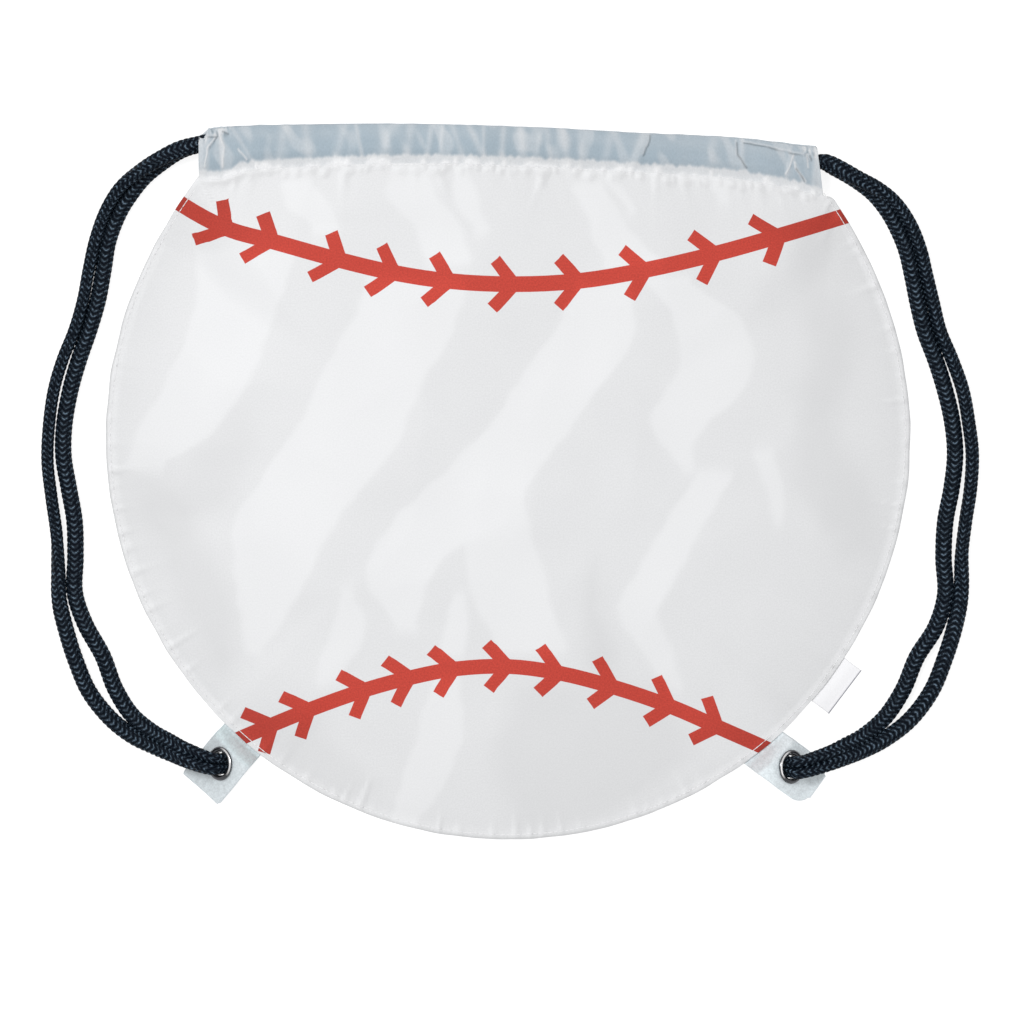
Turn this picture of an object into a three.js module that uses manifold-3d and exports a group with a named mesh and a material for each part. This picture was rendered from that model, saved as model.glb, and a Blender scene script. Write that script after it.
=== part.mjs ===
// A round drawstring bag that lies flat on its back panel.
// Millimetres, +Z up, +Y towards the mouth, the origin under the middle of the bag.
import * as THREE from "three";
import { ParametricGeometry } from "three/addons/geometries/ParametricGeometry.js";
import { mergeVertices } from "three/addons/utils/BufferGeometryUtils.js";
import Module from "manifold-3d";

const wasm = await Module();
wasm.setup();

// The bag, as it is cut and sewn
const DISC_RADIUS = 222;
const DISC_Y = 24.5;
const CLOTH = 1;
const GAP = 0.3;
const PUFF = 19;
const FLANGE_SHARE = 0.976;
const RIM_HEIGHT = 2 * CLOTH + GAP;
const CORNER_RISE = 48;

// The casings and the mouth between them
const CASING_HALF = 4;
const HEM = 1.4;
const CASING_SEAT = 0.4;
const MOUTH_GAP = 10;
const RUFFLE = 0.7;
const GATHER_HEIGHT = 1.1;
const GATHER_REACH = 24;
const HEM_CUT = 38;

// The tabs, eyelets, label and cords
const TAB_WIDTH = 26.5;
const TAB_LENGTH = 35.5;
const TAB_TUCK = 7;
const TAB_CLOTH = 2;
const TAB_TOP = 19;
const EYELET_REACH = 17.6;
const EYELET_HEIGHT = 11;
const EYELET_TILT = THREE.MathUtils.degToRad(42);
const EYELET_HOLE = 7;
const LABEL_LENGTH = 30;
const LABEL_REACH = 11;
const LABEL_TUCK = 5;
const LABEL_ANGLE = -37.1;
const CORD_RADIUS = 3.6;
const CHANNEL_CORD = { tall: 2.7, wide: 3.2 };
const CHANNEL_OFFSET = 3.4;
const TURN_INSET = { left: 26, right: 12 };
const CHANNEL_STATIONS = [-163, -155, -138, -108, -70, -32, 8, 46, 82, 110, 130, 146, 160];
const KNOT_RADIUS = 8.8;
const KNOT_HALF = 4.5;
const KNOT_SHIFT = 6.6;

// Steps that set how finely the round shapes are cut
const RIM_STEPS = 52;
const STITCH_STEPS = 38;
const CASING_STEPS = { front: 22, back: 12 };
const CASING_END_STEPS = 4;
const CORD_SIDES = 8;
const FRONT_RINGS = [0, 0.18, 0.35, 0.5, 0.63, 0.75, 0.86, 0.94, 0.976, 1];
const BACK_RINGS = [0, 0.5, 1];

// One row for each place where the casing was measured: its top edge and its stitch line
const CASING = [
  { x: -170, top: 194.4, stitch: 172.6 },
  { x: -137, top: 197.0, stitch: 178.0 },
  { x: -60, top: 197.5, stitch: 181.0 },
  { x: 14, top: 195.6, stitch: 179.5 },
  { x: 73, top: 192.4, stitch: 176.2 },
  { x: 124, top: 190.0, stitch: 172.8 },
  { x: 161, top: 185.8, stitch: 166.0 },
  { x: 172, top: 183.0, stitch: 162.4 },
];
const CASING_LEFT = CASING[0].x;
const CASING_RIGHT = CASING[CASING.length - 1].x;

// One row for each soft fold of the front panel, a ridge or a hollow along a line
const FOLDS = [
  { fromX: -115, fromY: 106, toX: -162, toY: 28, width: 26, height: 3.2 },
  { fromX: -24, fromY: 100, toX: -98, toY: -21, width: 26, height: 3.4 },
  { fromX: -98, fromY: -21, toX: -126, toY: -87, width: 24, height: 3.0 },
  { fromX: 73, fromY: 100, toX: 12, toY: 1, width: 24, height: 3.4 },
  { fromX: 12, fromY: 1, toX: 29, toY: -87, width: 22, height: 2.6 },
  { fromX: 131, fromY: 72, toX: 78, toY: -66, width: 26, height: 3.2 },
  { fromX: -21, fromY: -120, toX: -32, toY: -176, width: 20, height: 2.0 },
  { fromX: -150, fromY: 0, toX: -165, toY: -80, width: 22, height: -1.8 },
  { fromX: 186, fromY: 100, toX: 194, toY: 20, width: 20, height: -1.2 },
];

// Where each tab leaves the rim, which way it points, and the side its cord comes from
const TABS = {
  left: { x: -146.1, y: -143.0, heading: 229.5, rim: 228.9, outward: -1 },
  right: { x: 141.6, y: -147.3, heading: 324.0, rim: -50.5, outward: 1 },
};

// Strap strands in order from the casing to the eyelet, as x, y and height
const STRANDS = {
  left: {
    outer: [
      [-172.4, 184.9, 12.4], [-176.5, 184.3, 12.4], [-182, 182.5, 12.2], [-192, 177.4, 11.6],
      [-203, 170.6, 10.2], [-213.2, 162.6, 7.8], [-221.6, 150.0, 5.0], [-228.2, 133.4, 3.7], [-231.9, 116.8, 3.7],
      [-235, 100.2, 3.7], [-239.7, 83.7, 3.7], [-246.3, 67.1, 3.7], [-251.3, 50.5, 3.7],
      [-254.2, 30, 3.7], [-254.6, 11, 3.7], [-252.3, -9, 3.7], [-249.5, -30, 3.7],
      [-248.6, -49, 3.7], [-247.9, -66, 3.7], [-243.6, -84, 3.7], [-238, -100, 3.7],
      [-231, -116, 3.7], [-219, -131, 3.8], [-207, -140.8, 4.4], [-196, -146.6, 7.4],
      [-186, -151, 12.4], [-176, -155, 17.2],
    ],
    inner: [
      [-172.4, 184.9, 4.0], [-176.5, 184.1, 4.0], [-182, 181.8, 3.9], [-191.6, 175.4, 3.8], [-200, 167.8, 3.7],
      [-206.6, 159, 3.7], [-212.4, 148.8, 3.7], [-219.6, 133, 3.7], [-223.2, 116.6, 3.7],
      [-226.7, 100.2, 3.7], [-231.3, 83.7, 3.7], [-237.2, 67.1, 3.7], [-242.1, 50.5, 3.7],
      [-245.2, 31, 3.7], [-245.8, 14, 3.7], [-243.0, -4, 3.7], [-239.9, -22, 3.7],
      [-239.4, -42, 3.7], [-239.4, -61, 3.7], [-234.5, -78, 3.7], [-224.6, -96.5, 3.7],
      [-217.2, -114, 3.7], [-207.6, -128.2, 3.9], [-196.6, -136.6, 6.6], [-186.4, -141.6, 11.8],
      [-176, -146.4, 17.0],
    ],
  },
  right: {
    outer: [
      [174.4, 176.3, 12.4], [181.5, 173.6, 12.3], [191.6, 168.2, 11.8], [202.7, 162.2, 10.2],
      [213.4, 154.2, 7.4], [221.8, 141.8, 4.7], [227.4, 128, 3.7], [231.2, 113, 3.7],
      [234.4, 98.6, 3.7], [238.2, 83.2, 3.7], [244.9, 67.1, 3.7], [250.7, 50.5, 3.7],
      [254.1, 32, 3.7], [256, 15, 3.7], [255, -4, 3.7], [252.3, -22, 3.7],
      [250.2, -40, 3.7], [249.8, -62, 3.7], [246.4, -80, 3.7], [240.8, -98, 3.7],
      [233.6, -115.4, 3.7], [221.8, -131.2, 3.8], [208.4, -142, 4.4], [196.6, -148.6, 7.6],
      [185.6, -153, 12.8], [175, -156.8, 17.4],
    ],
    inner: [
      [174.4, 176.3, 4.0], [181, 173.2, 3.9], [191, 165.8, 3.8], [200, 157.6, 3.7],
      [207, 148.6, 3.7], [212.6, 139.4, 3.7], [217.6, 127.6, 3.7], [221.6, 113, 3.7],
      [225, 98.4, 3.7], [229.4, 83, 3.7], [235.8, 67.1, 3.7], [241, 50.5, 3.7],
      [245, 33, 3.7], [246.6, 15, 3.7], [244.6, -4, 3.7], [241.2, -22, 3.7],
      [240.2, -42, 3.7], [241.2, -62, 3.7], [236, -80, 3.7], [225.4, -97, 3.7],
      [218, -114.6, 3.7], [208, -129.6, 3.9], [196.6, -138.8, 6.6], [185.4, -144.2, 12.0],
      [174.6, -148.6, 17.2],
    ],
  },
};

// A soft curve through one column of the casing table
function casingAt(column, x) {
  let row = 0;
  while (row < CASING.length - 2 && x > CASING[row + 1].x) row += 1;
  const before = CASING[Math.max(row - 1, 0)];
  const here = CASING[row];
  const next = CASING[row + 1];
  const after = CASING[Math.min(row + 2, CASING.length - 1)];
  const span = next.x - here.x;
  const share = THREE.MathUtils.clamp((x - here.x) / span, 0, 1);
  const startSlope = (next[column] - before[column]) / (next.x - before.x) * span;
  const endSlope = (after[column] - here[column]) / (after.x - here.x) * span;
  const s2 = share * share;
  const s3 = s2 * share;
  return (2 * s3 - 3 * s2 + 1) * here[column] + (s3 - 2 * s2 + share) * startSlope
    + (3 * s2 - 2 * s3) * next[column] + (s3 - s2) * endSlope;
}

// Height of the middle of the front casing: it rests on the back one and arches over the mouth
function frontCasingZ(x) {
  const share = (x - (CASING_LEFT + CASING_RIGHT) / 2) / ((CASING_RIGHT - CASING_LEFT) / 2);
  return 3 * CASING_HALF + CASING_SEAT + MOUTH_GAP * Math.max(0, 1 - share * share);
}

// A solid from a closed geometry, with doubled points joined and slivers dropped
function toSolid(geometry) {
  const bare = new THREE.BufferGeometry();
  bare.setAttribute("position", geometry.getAttribute("position"));
  bare.setIndex(geometry.index);
  const joined = mergeVertices(bare, 1e-4);
  const corners = joined.index.array;
  const kept = [];
  for (let i = 0; i < corners.length; i += 3) {
    const [a, b, c] = [corners[i], corners[i + 1], corners[i + 2]];
    if (a !== b && b !== c && c !== a) kept.push(a, b, c);
  }
  return new wasm.Manifold(new wasm.Mesh({
    numProp: 3,
    vertProperties: new Float32Array(joined.getAttribute("position").array),
    triVerts: new Uint32Array(kept),
  }));
}

function toGeometry(solid) {
  const made = solid.getMesh();
  const geometry = new THREE.BufferGeometry();
  geometry.setAttribute("position", new THREE.BufferAttribute(made.vertProperties, 3));
  geometry.setIndex(new THREE.BufferAttribute(made.triVerts, 1));
  geometry.computeVertexNormals();
  return geometry;
}

const bag = new THREE.Group();
bag.name = "drawstring_bag";

function add(name, solid, material) {
  const mesh = new THREE.Mesh(toGeometry(solid), material);
  mesh.name = name;
  bag.add(mesh);
}

// The edge of a panel: round the rim from the right shoulder to the left one, then back
// along the stitch line. Each corner says where it is and how far along the stitches it lies.
function panelEdge(stitchInset) {
  const corner = (x) => Math.atan2(casingAt("stitch", x) - DISC_Y, x);
  const rightAngle = corner(CASING_RIGHT);
  const leftAngle = corner(CASING_LEFT) - 2 * Math.PI;
  const edge = [];
  for (let i = 0; i < STITCH_STEPS; i += 1) {
    const x = THREE.MathUtils.lerp(CASING_RIGHT, CASING_LEFT, i / STITCH_STEPS);
    edge.push({ x, y: casingAt("stitch", x) + stitchInset, stitch: i });
  }
  for (let i = 0; i < RIM_STEPS; i += 1) {
    const angle = THREE.MathUtils.lerp(leftAngle, rightAngle, i / RIM_STEPS);
    const alongLeft = (angle - leftAngle) * DISC_RADIUS;
    const alongRight = (rightAngle - angle) * DISC_RADIUS;
    edge.push({
      x: DISC_RADIUS * Math.cos(angle),
      y: DISC_Y + DISC_RADIUS * Math.sin(angle),
      angle,
      fromCasing: Math.min(alongLeft, alongRight),
    });
  }
  return edge;
}

// How much the rim is lifted where a tab or the label is sewn between the panels
function rimLift(angle) {
  const sewnIn = [
    { rim: TABS.left.rim, half: 33, lift: TAB_CLOTH + GAP },
    { rim: TABS.right.rim, half: 33, lift: TAB_CLOTH + GAP },
    { rim: LABEL_ANGLE, half: 35, lift: CLOTH + GAP },
  ];
  let lift = 0;
  for (const piece of sewnIn) {
    const turn = Math.cos(angle - THREE.MathUtils.degToRad(piece.rim));
    const away = Math.acos(THREE.MathUtils.clamp(turn, -1, 1)) * DISC_RADIUS;
    lift = Math.max(lift, piece.lift * (1 - THREE.MathUtils.smoothstep(away, piece.half, piece.half + 24)));
  }
  return lift;
}

// Top face of the front panel on its edge
function frontEdgeHeight(corner) {
  if (corner.stitch !== undefined) return frontCasingZ(corner.x) + CLOTH / 2;
  const rise = 1 - THREE.MathUtils.smoothstep(corner.fromCasing, 0, CORNER_RISE);
  const shoulder = frontCasingZ(CASING_LEFT) + CLOTH / 2;
  return THREE.MathUtils.lerp(RIM_HEIGHT + rimLift(corner.angle), shoulder, rise);
}

function foldHeight(x, y) {
  let height = 0;
  for (const fold of FOLDS) {
    const runX = fold.toX - fold.fromX;
    const runY = fold.toY - fold.fromY;
    const along = ((x - fold.fromX) * runX + (y - fold.fromY) * runY) / (runX * runX + runY * runY);
    const share = THREE.MathUtils.clamp(along, 0, 1);
    const away = Math.hypot(x - fold.fromX - share * runX, y - fold.fromY - share * runY);
    height += fold.height * Math.exp(-((away / fold.width) ** 2));
  }
  return height;
}

// Top face of the front panel: a low dome with the folds on it and gathers under the casing
function frontHeight(corner, share, x, y) {
  const edge = frontEdgeHeight(corner);
  const inward = 1 - Math.min(1, share / FLANGE_SHARE) ** 3;
  const folds = foldHeight(x, y) * (1 - share ** 8);
  let gathers = 0;
  if (corner.stitch) {
    const away = (1 - share) * Math.hypot(corner.x, corner.y - DISC_Y);
    gathers = GATHER_HEIGHT * Math.cos(Math.PI * corner.stitch) * Math.exp(-away / GATHER_REACH);
  }
  return edge + (PUFF - edge) * inward + folds + gathers;
}

function backHeight() {
  return CLOTH;
}

// A cloth panel of even thickness: its top face from the middle out, then its lower face back
function panelSolid(stitchInset, rings, heightOf) {
  const edge = panelEdge(stitchInset);
  const lastRing = rings.length - 1;
  const stacks = 2 * lastRing + 1;
  const place = (around, through, target) => {
    const corner = edge[Math.round((1 - around) * edge.length) % edge.length];
    const level = Math.round(through * stacks);
    const onTop = level <= lastRing;
    const share = rings[onTop ? level : stacks - level];
    const x = corner.x * share;
    const y = DISC_Y + (corner.y - DISC_Y) * share;
    const top = share === 0 ? heightOf({ x: 0, y: DISC_Y, stitch: 0 }, 0, x, y) : heightOf(corner, share, x, y);
    target.set(x, y, onTop ? top : top - CLOTH);
  };
  return toSolid(new ParametricGeometry(place, edge.length, stacks));
}

// A flattened ring of points round the cord channel, in the plane across the casing
function casingRing(x, bottom, top, centreZ, half, ruffle) {
  const middle = (bottom + top) / 2;
  const reach = (top - bottom) / 2 - half;
  const ring = [];
  for (const side of [1, -1]) {
    for (let i = 0; i <= CASING_END_STEPS; i += 1) {
      const angle = Math.PI * i / CASING_END_STEPS + (side > 0 ? 0 : Math.PI);
      const y = middle + side * reach + half * Math.sin(angle);
      const z = half * Math.cos(angle);
      ring.push(new THREE.Vector3(x, y, centreZ + z + (z > half / 2 ? ruffle : 0)));
    }
  }
  return ring;
}

// A folded-over casing: the outer ring run along the bag, and the hollow inside it
function casingSolid(steps, zAt, ruffle) {
  const outer = [];
  const inner = [];
  for (let i = 0; i <= steps; i += 1) {
    const x = THREE.MathUtils.lerp(CASING_LEFT, CASING_RIGHT, i / steps);
    const stitch = casingAt("stitch", x);
    const top = casingAt("top", x);
    const wave = ruffle * (i % 2);
    outer.push(casingRing(x, stitch, top, zAt(x), CASING_HALF, wave));
    inner.push(casingRing(x, stitch + HEM, top - CLOTH, zAt(x), CASING_HALF - CLOTH, wave));
  }
  const rings = outer.concat(inner.reverse());
  const count = outer[0].length;
  const place = (around, along, target) => {
    const row = Math.round(along * rings.length) % rings.length;
    target.copy(rings[row][Math.round((1 - around) * count) % count]);
  };
  return toSolid(new ParametricGeometry(place, count, rings.length));
}

// A box that cuts the inner layer of a casing back at one end, where the cord turns over
function hemCut(end, side, low, high) {
  const bottom = casingAt("stitch", end) - 1;
  const cut = new THREE.BoxGeometry(HEM_CUT, 60, high - low);
  cut.translate(end - side * (HEM_CUT / 2 - 1), bottom + HEM + 33.5, (low + high) / 2);
  return toSolid(cut);
}

const frontZ = frontCasingZ(CASING_LEFT);
const backZ = CASING_HALF;
let frontPanel = panelSolid(HEM / 2, FRONT_RINGS, frontHeight).add(casingSolid(CASING_STEPS.front, frontCasingZ, RUFFLE));
let backPanel = panelSolid(6, BACK_RINGS, backHeight).add(casingSolid(CASING_STEPS.back, () => backZ, 0));
for (const [end, side] of [[CASING_LEFT, -1], [CASING_RIGHT, 1]]) {
  frontPanel = frontPanel.subtract(hemCut(end, side, frontZ - 6, frontZ + 0.2));
  backPanel = backPanel.subtract(hemCut(end, side, backZ - 0.2, backZ + 6));
}
add("front_panel", frontPanel, new THREE.MeshStandardMaterial({ name: "front_cloth", color: 0xe8e8ea, roughness: 0.75 }));
add("back_panel", backPanel, new THREE.MeshStandardMaterial({ name: "back_cloth", color: 0xe6e6e8, roughness: 0.75 }));

// Where an eyelet sits and the way it faces: tipped towards the cord that pulls on it
function eyeletSeat(tab) {
  const heading = THREE.MathUtils.degToRad(tab.heading);
  return {
    centre: new THREE.Vector3(
      tab.x + EYELET_REACH * Math.cos(heading),
      tab.y + EYELET_REACH * Math.sin(heading),
      EYELET_HEIGHT,
    ),
    facing: new THREE.Vector3(tab.outward * Math.sin(EYELET_TILT), 0, Math.cos(EYELET_TILT)),
  };
}

// Middle height of a tab: flat in the seam, up to the tipped eyelet, down to the floor past it
function tabHeight(tab, x, y) {
  const { centre } = eyeletSeat(tab);
  const tipped = EYELET_HEIGHT - Math.tan(EYELET_TILT) * tab.outward * (x - centre.x);
  const pastRim = Math.hypot(x, y - DISC_Y) - DISC_RADIUS;
  const seam = CLOTH + GAP + TAB_CLOTH / 2;
  const floor = TAB_CLOTH / 2 + 0.2;
  const softness = 1.2;
  const raised = floor + softness * Math.log(1 + Math.exp((tipped - floor) / softness));
  const lifted = TAB_TOP - softness * Math.log(1 + Math.exp((TAB_TOP - raised) / softness));
  return THREE.MathUtils.lerp(seam, lifted, THREE.MathUtils.smoothstep(pastRim, 1.8, 8));
}

// A flat strip of cloth that leaves the rim, with rounded outer corners
function stripSolid(start, heading, reachFrom, reachTo, width, thickness, heightOf, steps) {
  const along = new THREE.Vector2(Math.cos(heading), Math.sin(heading));
  const across = new THREE.Vector2(-along.y, along.x);
  const [lengthSteps, widthSteps] = steps;
  const around = 2 * (widthSteps + 1);
  const rows = lengthSteps + 1;
  const place = (turn, run, target) => {
    const step = Math.round((1 - turn) * around) % around;
    const onTop = step <= widthSteps;
    const column = onTop ? step : around - 1 - step;
    const level = THREE.MathUtils.clamp(Math.round(run * (rows + 1)) - 1, 0, lengthSteps);
    const reach = THREE.MathUtils.lerp(reachFrom, reachTo, level / lengthSteps);
    const closed = run === 0 || run === 1;
    const narrow = level === lengthSteps ? 0.82 : 1;
    const offset = closed ? 0 : (column / widthSteps - 0.5) * width * narrow;
    const x = start.x + along.x * reach + across.x * offset;
    const y = start.y + along.y * reach + across.y * offset;
    const side = closed ? 0 : (onTop ? 0.5 : -0.5);
    target.set(x, y, heightOf(x, y, reach) + side * thickness);
  };
  return toSolid(new ParametricGeometry(place, around, rows + 1));
}

function tabSolid(tab) {
  const heading = THREE.MathUtils.degToRad(tab.heading);
  const strip = stripSolid(
    new THREE.Vector2(tab.x, tab.y), heading, -TAB_TUCK, TAB_LENGTH, TAB_WIDTH, TAB_CLOTH,
    (x, y) => tabHeight(tab, x, y), [17, 6],
  );
  const { centre, facing } = eyeletSeat(tab);
  const hole = new THREE.CylinderGeometry(EYELET_HOLE + 1, EYELET_HOLE + 1, 9, 24);
  hole.applyQuaternion(new THREE.Quaternion().setFromUnitVectors(THREE.Object3D.DEFAULT_UP, facing));
  hole.translate(centre.x, centre.y, centre.z);
  return strip.subtract(toSolid(hole));
}

// An eyelet: a rolled front flange, a barrel through the tab and a washer behind it
function eyeletSolid(tab) {
  const hole = EYELET_HOLE;
  const seat = TAB_CLOTH / 2 + GAP;
  const profile = [
    [hole, -seat - 0.7], [hole + 0.5, -seat - 1], [hole + 1.9, -seat - 0.7], [hole + 2.1, -seat],
    [hole + 0.7, -seat], [hole + 0.7, seat], [hole + 2.3, seat], [hole + 2.2, seat + 0.7],
    [hole + 1.5, seat + 1.3], [hole + 0.6, seat + 1.2], [hole, seat + 0.6], [hole, -seat - 0.7],
  ].map(([radius, height]) => new THREE.Vector2(radius, height));
  const ring = new THREE.LatheGeometry(profile, 18);
  const { centre, facing } = eyeletSeat(tab);
  ring.applyQuaternion(new THREE.Quaternion().setFromUnitVectors(THREE.Object3D.DEFAULT_UP, facing));
  ring.translate(centre.x, centre.y, centre.z);
  return toSolid(ring);
}

// A knot behind the eyelet: a flattened ball, with the squeezed strands through the hole as a stem
function knotSolid(tab) {
  const { centre, facing } = eyeletSeat(tab);
  const ball = new THREE.SphereGeometry(1, 14, 9);
  ball.scale(KNOT_RADIUS, KNOT_RADIUS, KNOT_HALF);
  ball.translate(centre.x - tab.outward * KNOT_SHIFT, centre.y, KNOT_HALF + 0.2);
  const stem = new THREE.CylinderGeometry(6.1, 5.2, 8.2, 12);
  stem.translate(0, 0.1, 0);
  stem.applyQuaternion(new THREE.Quaternion().setFromUnitVectors(THREE.Object3D.DEFAULT_UP, facing));
  stem.translate(centre.x, centre.y, centre.z);
  return toSolid(ball).add(toSolid(stem));
}

// A path whose steps fall on its own points, close together at the turns
class RoutePath extends THREE.CatmullRomCurve3 {
  getUtoTmapping(share) {
    return share;
  }
}

function cordSolid(points, tall, wide) {
  const section = new THREE.Shape();
  const corners = [];
  for (let i = 0; i < CORD_SIDES; i += 1) {
    const angle = 2 * Math.PI * i / CORD_SIDES;
    corners.push(new THREE.Vector2(tall * Math.cos(angle), wide * Math.sin(angle)));
  }
  section.setFromPoints(corners);
  const extrudePath = new RoutePath(points, false, "centripetal");
  return toSolid(new THREE.ExtrudeGeometry(section, { steps: points.length - 1, extrudePath, bevelEnabled: false }));
}

// A free strand of a strap, ending side by side with its twin in front of the eyelet
function strandSolid(rows, tab, lateral) {
  const { centre, facing } = eyeletSeat(tab);
  const points = rows.map(([x, y, z]) => new THREE.Vector3(x, y, z));
  for (const ahead of [8.4, 4.6]) {
    const point = centre.clone().addScaledVector(facing, ahead);
    point.y += lateral;
    points.push(point);
  }
  return cordSolid(points, CORD_RADIUS, CORD_RADIUS);
}

// The hidden run of a cord: along the back casing, over at the far end, back along the front one
function channelSolid(side, lane) {
  const start = side === "left" ? CASING_LEFT : CASING_RIGHT;
  const far = side === "left" ? CASING_RIGHT : CASING_LEFT;
  const away = Math.sign(far - start);
  const inset = side === "left" ? TURN_INSET.right : TURN_INSET.left;
  const turnX = far - away * inset;
  const exit = STRANDS[side];
  const middle = (x) => (casingAt("stitch", x) + HEM + casingAt("top", x) - CLOTH) / 2;
  const drift = exit.outer[0][1] - middle(start) - lane * CHANNEL_OFFSET;
  const laneY = (x) => middle(x) + lane * CHANNEL_OFFSET
    + drift * (1 - THREE.MathUtils.smoothstep(Math.abs(x - start), 1, 15));
  const run = CHANNEL_STATIONS.filter((x) => (turnX - x) * away > 4);
  if (away < 0) run.reverse();
  run.push(turnX);
  run.unshift(start - away * 1.2);
  const points = run.map((x) => new THREE.Vector3(x, laneY(x), backZ));
  const upper = frontCasingZ(turnX);
  const radius = (upper - backZ) / 2;
  for (const angle of [30, 60, 90, 120, 150]) {
    const turn = THREE.MathUtils.degToRad(angle);
    const x = turnX + away * radius * Math.sin(turn);
    points.push(new THREE.Vector3(x, laneY(x), backZ + radius - radius * Math.cos(turn)));
  }
  for (const x of run.reverse()) points.push(new THREE.Vector3(x, laneY(x), frontCasingZ(x)));
  return cordSolid(points, CHANNEL_CORD.tall, CHANNEL_CORD.wide);
}

const cordMaterial = (name) => new THREE.MeshStandardMaterial({ name, color: 0x18212d, roughness: 0.6 });
for (const side of ["left", "right"]) {
  const tab = TABS[side];
  add(`tab_${side}`, tabSolid(tab),
    new THREE.MeshStandardMaterial({ name: `tab_${side}_cloth`, color: 0xd0d4d6, roughness: 0.75 }));
  add(`eyelet_${side}`, eyeletSolid(tab),
    new THREE.MeshStandardMaterial({ name: `eyelet_${side}_metal`, color: 0x3c3d40, roughness: 0.35, metalness: 1 }));
  add(`cord_${side}_outer`, strandSolid(STRANDS[side].outer, tab, -CORD_RADIUS - 0.2), cordMaterial(`cord_${side}_outer_braid`));
  add(`cord_${side}_inner`, strandSolid(STRANDS[side].inner, tab, CORD_RADIUS + 0.2), cordMaterial(`cord_${side}_inner_braid`));
  add(`cord_${side}_channel`, channelSolid(side, side === "left" ? -1 : 1), cordMaterial(`cord_${side}_channel_braid`));
  add(`knot_${side}`, knotSolid(tab), cordMaterial(`knot_${side}_braid`));
}

const labelAngle = THREE.MathUtils.degToRad(LABEL_ANGLE);
const labelStart = new THREE.Vector2(DISC_RADIUS * Math.cos(labelAngle), DISC_Y + DISC_RADIUS * Math.sin(labelAngle));
const labelDrop = (x, y, reach) => CLOTH + GAP + CLOTH / 2 - 1.1 * THREE.MathUtils.smoothstep(reach, 0, LABEL_REACH);
add("side_label", stripSolid(labelStart, labelAngle, -LABEL_TUCK, LABEL_REACH, LABEL_LENGTH, CLOTH, labelDrop, [6, 6]),
  new THREE.MeshStandardMaterial({ name: "label_tape", color: 0xf4f4f4, roughness: 0.6 }));

export default bag;
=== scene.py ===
"""Dresses a round drawstring bag: cloth panels, casings, braided straps, tabs, eyelets and label."""

import math
import random
from bisect import bisect_left

import bmesh
import bpy
from bpy.props import FloatProperty, FloatVectorProperty, PointerProperty
from bpy.types import Operator, Panel, PropertyGroup
from mathutils import Matrix, Vector, noise


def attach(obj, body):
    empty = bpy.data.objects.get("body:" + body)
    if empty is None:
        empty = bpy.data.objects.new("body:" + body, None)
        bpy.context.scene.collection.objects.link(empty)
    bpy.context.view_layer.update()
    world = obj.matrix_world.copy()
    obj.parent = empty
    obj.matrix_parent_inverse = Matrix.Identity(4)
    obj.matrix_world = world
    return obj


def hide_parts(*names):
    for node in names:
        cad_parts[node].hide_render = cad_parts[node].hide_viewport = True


bl_info = {
    "name": "Drawstring bag",
    "version": (1, 0, 0),
    "blender": (4, 5, 0),
    "location": "View3D > Sidebar > Bag",
    "description": "Dresses a round drawstring bag with cloth, braided straps, eyelets and stitching",
    "category": "Object",
}

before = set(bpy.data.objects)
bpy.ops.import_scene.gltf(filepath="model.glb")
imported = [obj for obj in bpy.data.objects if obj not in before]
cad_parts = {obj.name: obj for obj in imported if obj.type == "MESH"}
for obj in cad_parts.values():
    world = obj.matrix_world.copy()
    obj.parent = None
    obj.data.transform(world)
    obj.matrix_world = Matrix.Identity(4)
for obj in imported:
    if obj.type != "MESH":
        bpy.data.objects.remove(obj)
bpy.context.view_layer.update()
MM = 0.001

# The bag as it is cut and sewn, in millimetres, with the mouth towards +Y
DISC_RADIUS = 222
DISC_Y = 24.5
FLANGE_SHARE = 0.976
SHOULDER = 12.9
CORNER_RISE = 48
CORNER_BLEND = 8
CASING_HALF = 4
CASING_GAP = 0.4
BACK_CASING_Z = 4
MOUTH_ARCH = 10
HEM = 1.4
HEM_CUT = 38
SEAM_STOP = 4
SEAM_FADE = 12
SEAM_DROP = 6.3
SEAM_OVERLAP = 3
SEAM_STEP = 0.67
SEAM_TUCK = 1.2
RIM_WANDER = 0.0022
RIM_WANDER_SIZE = 16
BACK_CLEAR = 0.05
BACK_CRUMPLE = 0.22
BACK_RISE_RUN = (0.86, 0.985)
TAB_WIDTH = 26.5
TAB_LENGTH = 35.5
TAB_TUCK = 7
TAB_TOP = 19
TAB_LOW = 1.7
TAB_IN_SEAM = 2.3
TAB_CLIMB = (0.4, 9)
TAB_BEND = 1.2
TAB_HALF_GAP = 0.95
TAB_CLOTH = 0.8
TAB_STEEP_START = (-0.5, 2.5)
TAB_STEEP_END = (6.5, 10.5)
EYELET_HEIGHT = 11
EYELET_TILT = math.radians(42)
EYELET_HOLE = 7
LABEL_ANGLE = math.radians(-37.1)
LABEL_LENGTH = 30
LABEL_REACH = 11
LABEL_TUCK = 5
LABEL_Z = 1.75
LABEL_DROP = 1.1
LABEL_BOW = 0.3
LABEL_HALF_GAP = 0.42
LABEL_WALL = 0.3

# Stitches: how far they keep from the casing's ends, in radians on the rim, their length as a share of
# the pitch, their thread, and how far they stand above the cloth
RIM_MARGIN = 0.03
RIM_STITCH = 1.7
RIM_THREAD = 0.26
RIM_PROUD = 0.02
CASING_MARGIN = 2
CASING_STITCH = 0.9
CASING_THREAD = 0.25
CASING_PROUD = -0.2

FRONT_GRID = (270, 176)
BACK_GRID = (150, 150)
FRONT_CASING_GRID = (600, 80)
BACK_CASING_GRID = (290, 40)
TAB_GRID = (96, 30)
LABEL_GRID = (44, 32)

# Size of one thread of each weave, in metres
PANEL_THREAD = 0.0007
TAB_THREAD = 0.0008
LABEL_THREAD = 0.0004

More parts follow.
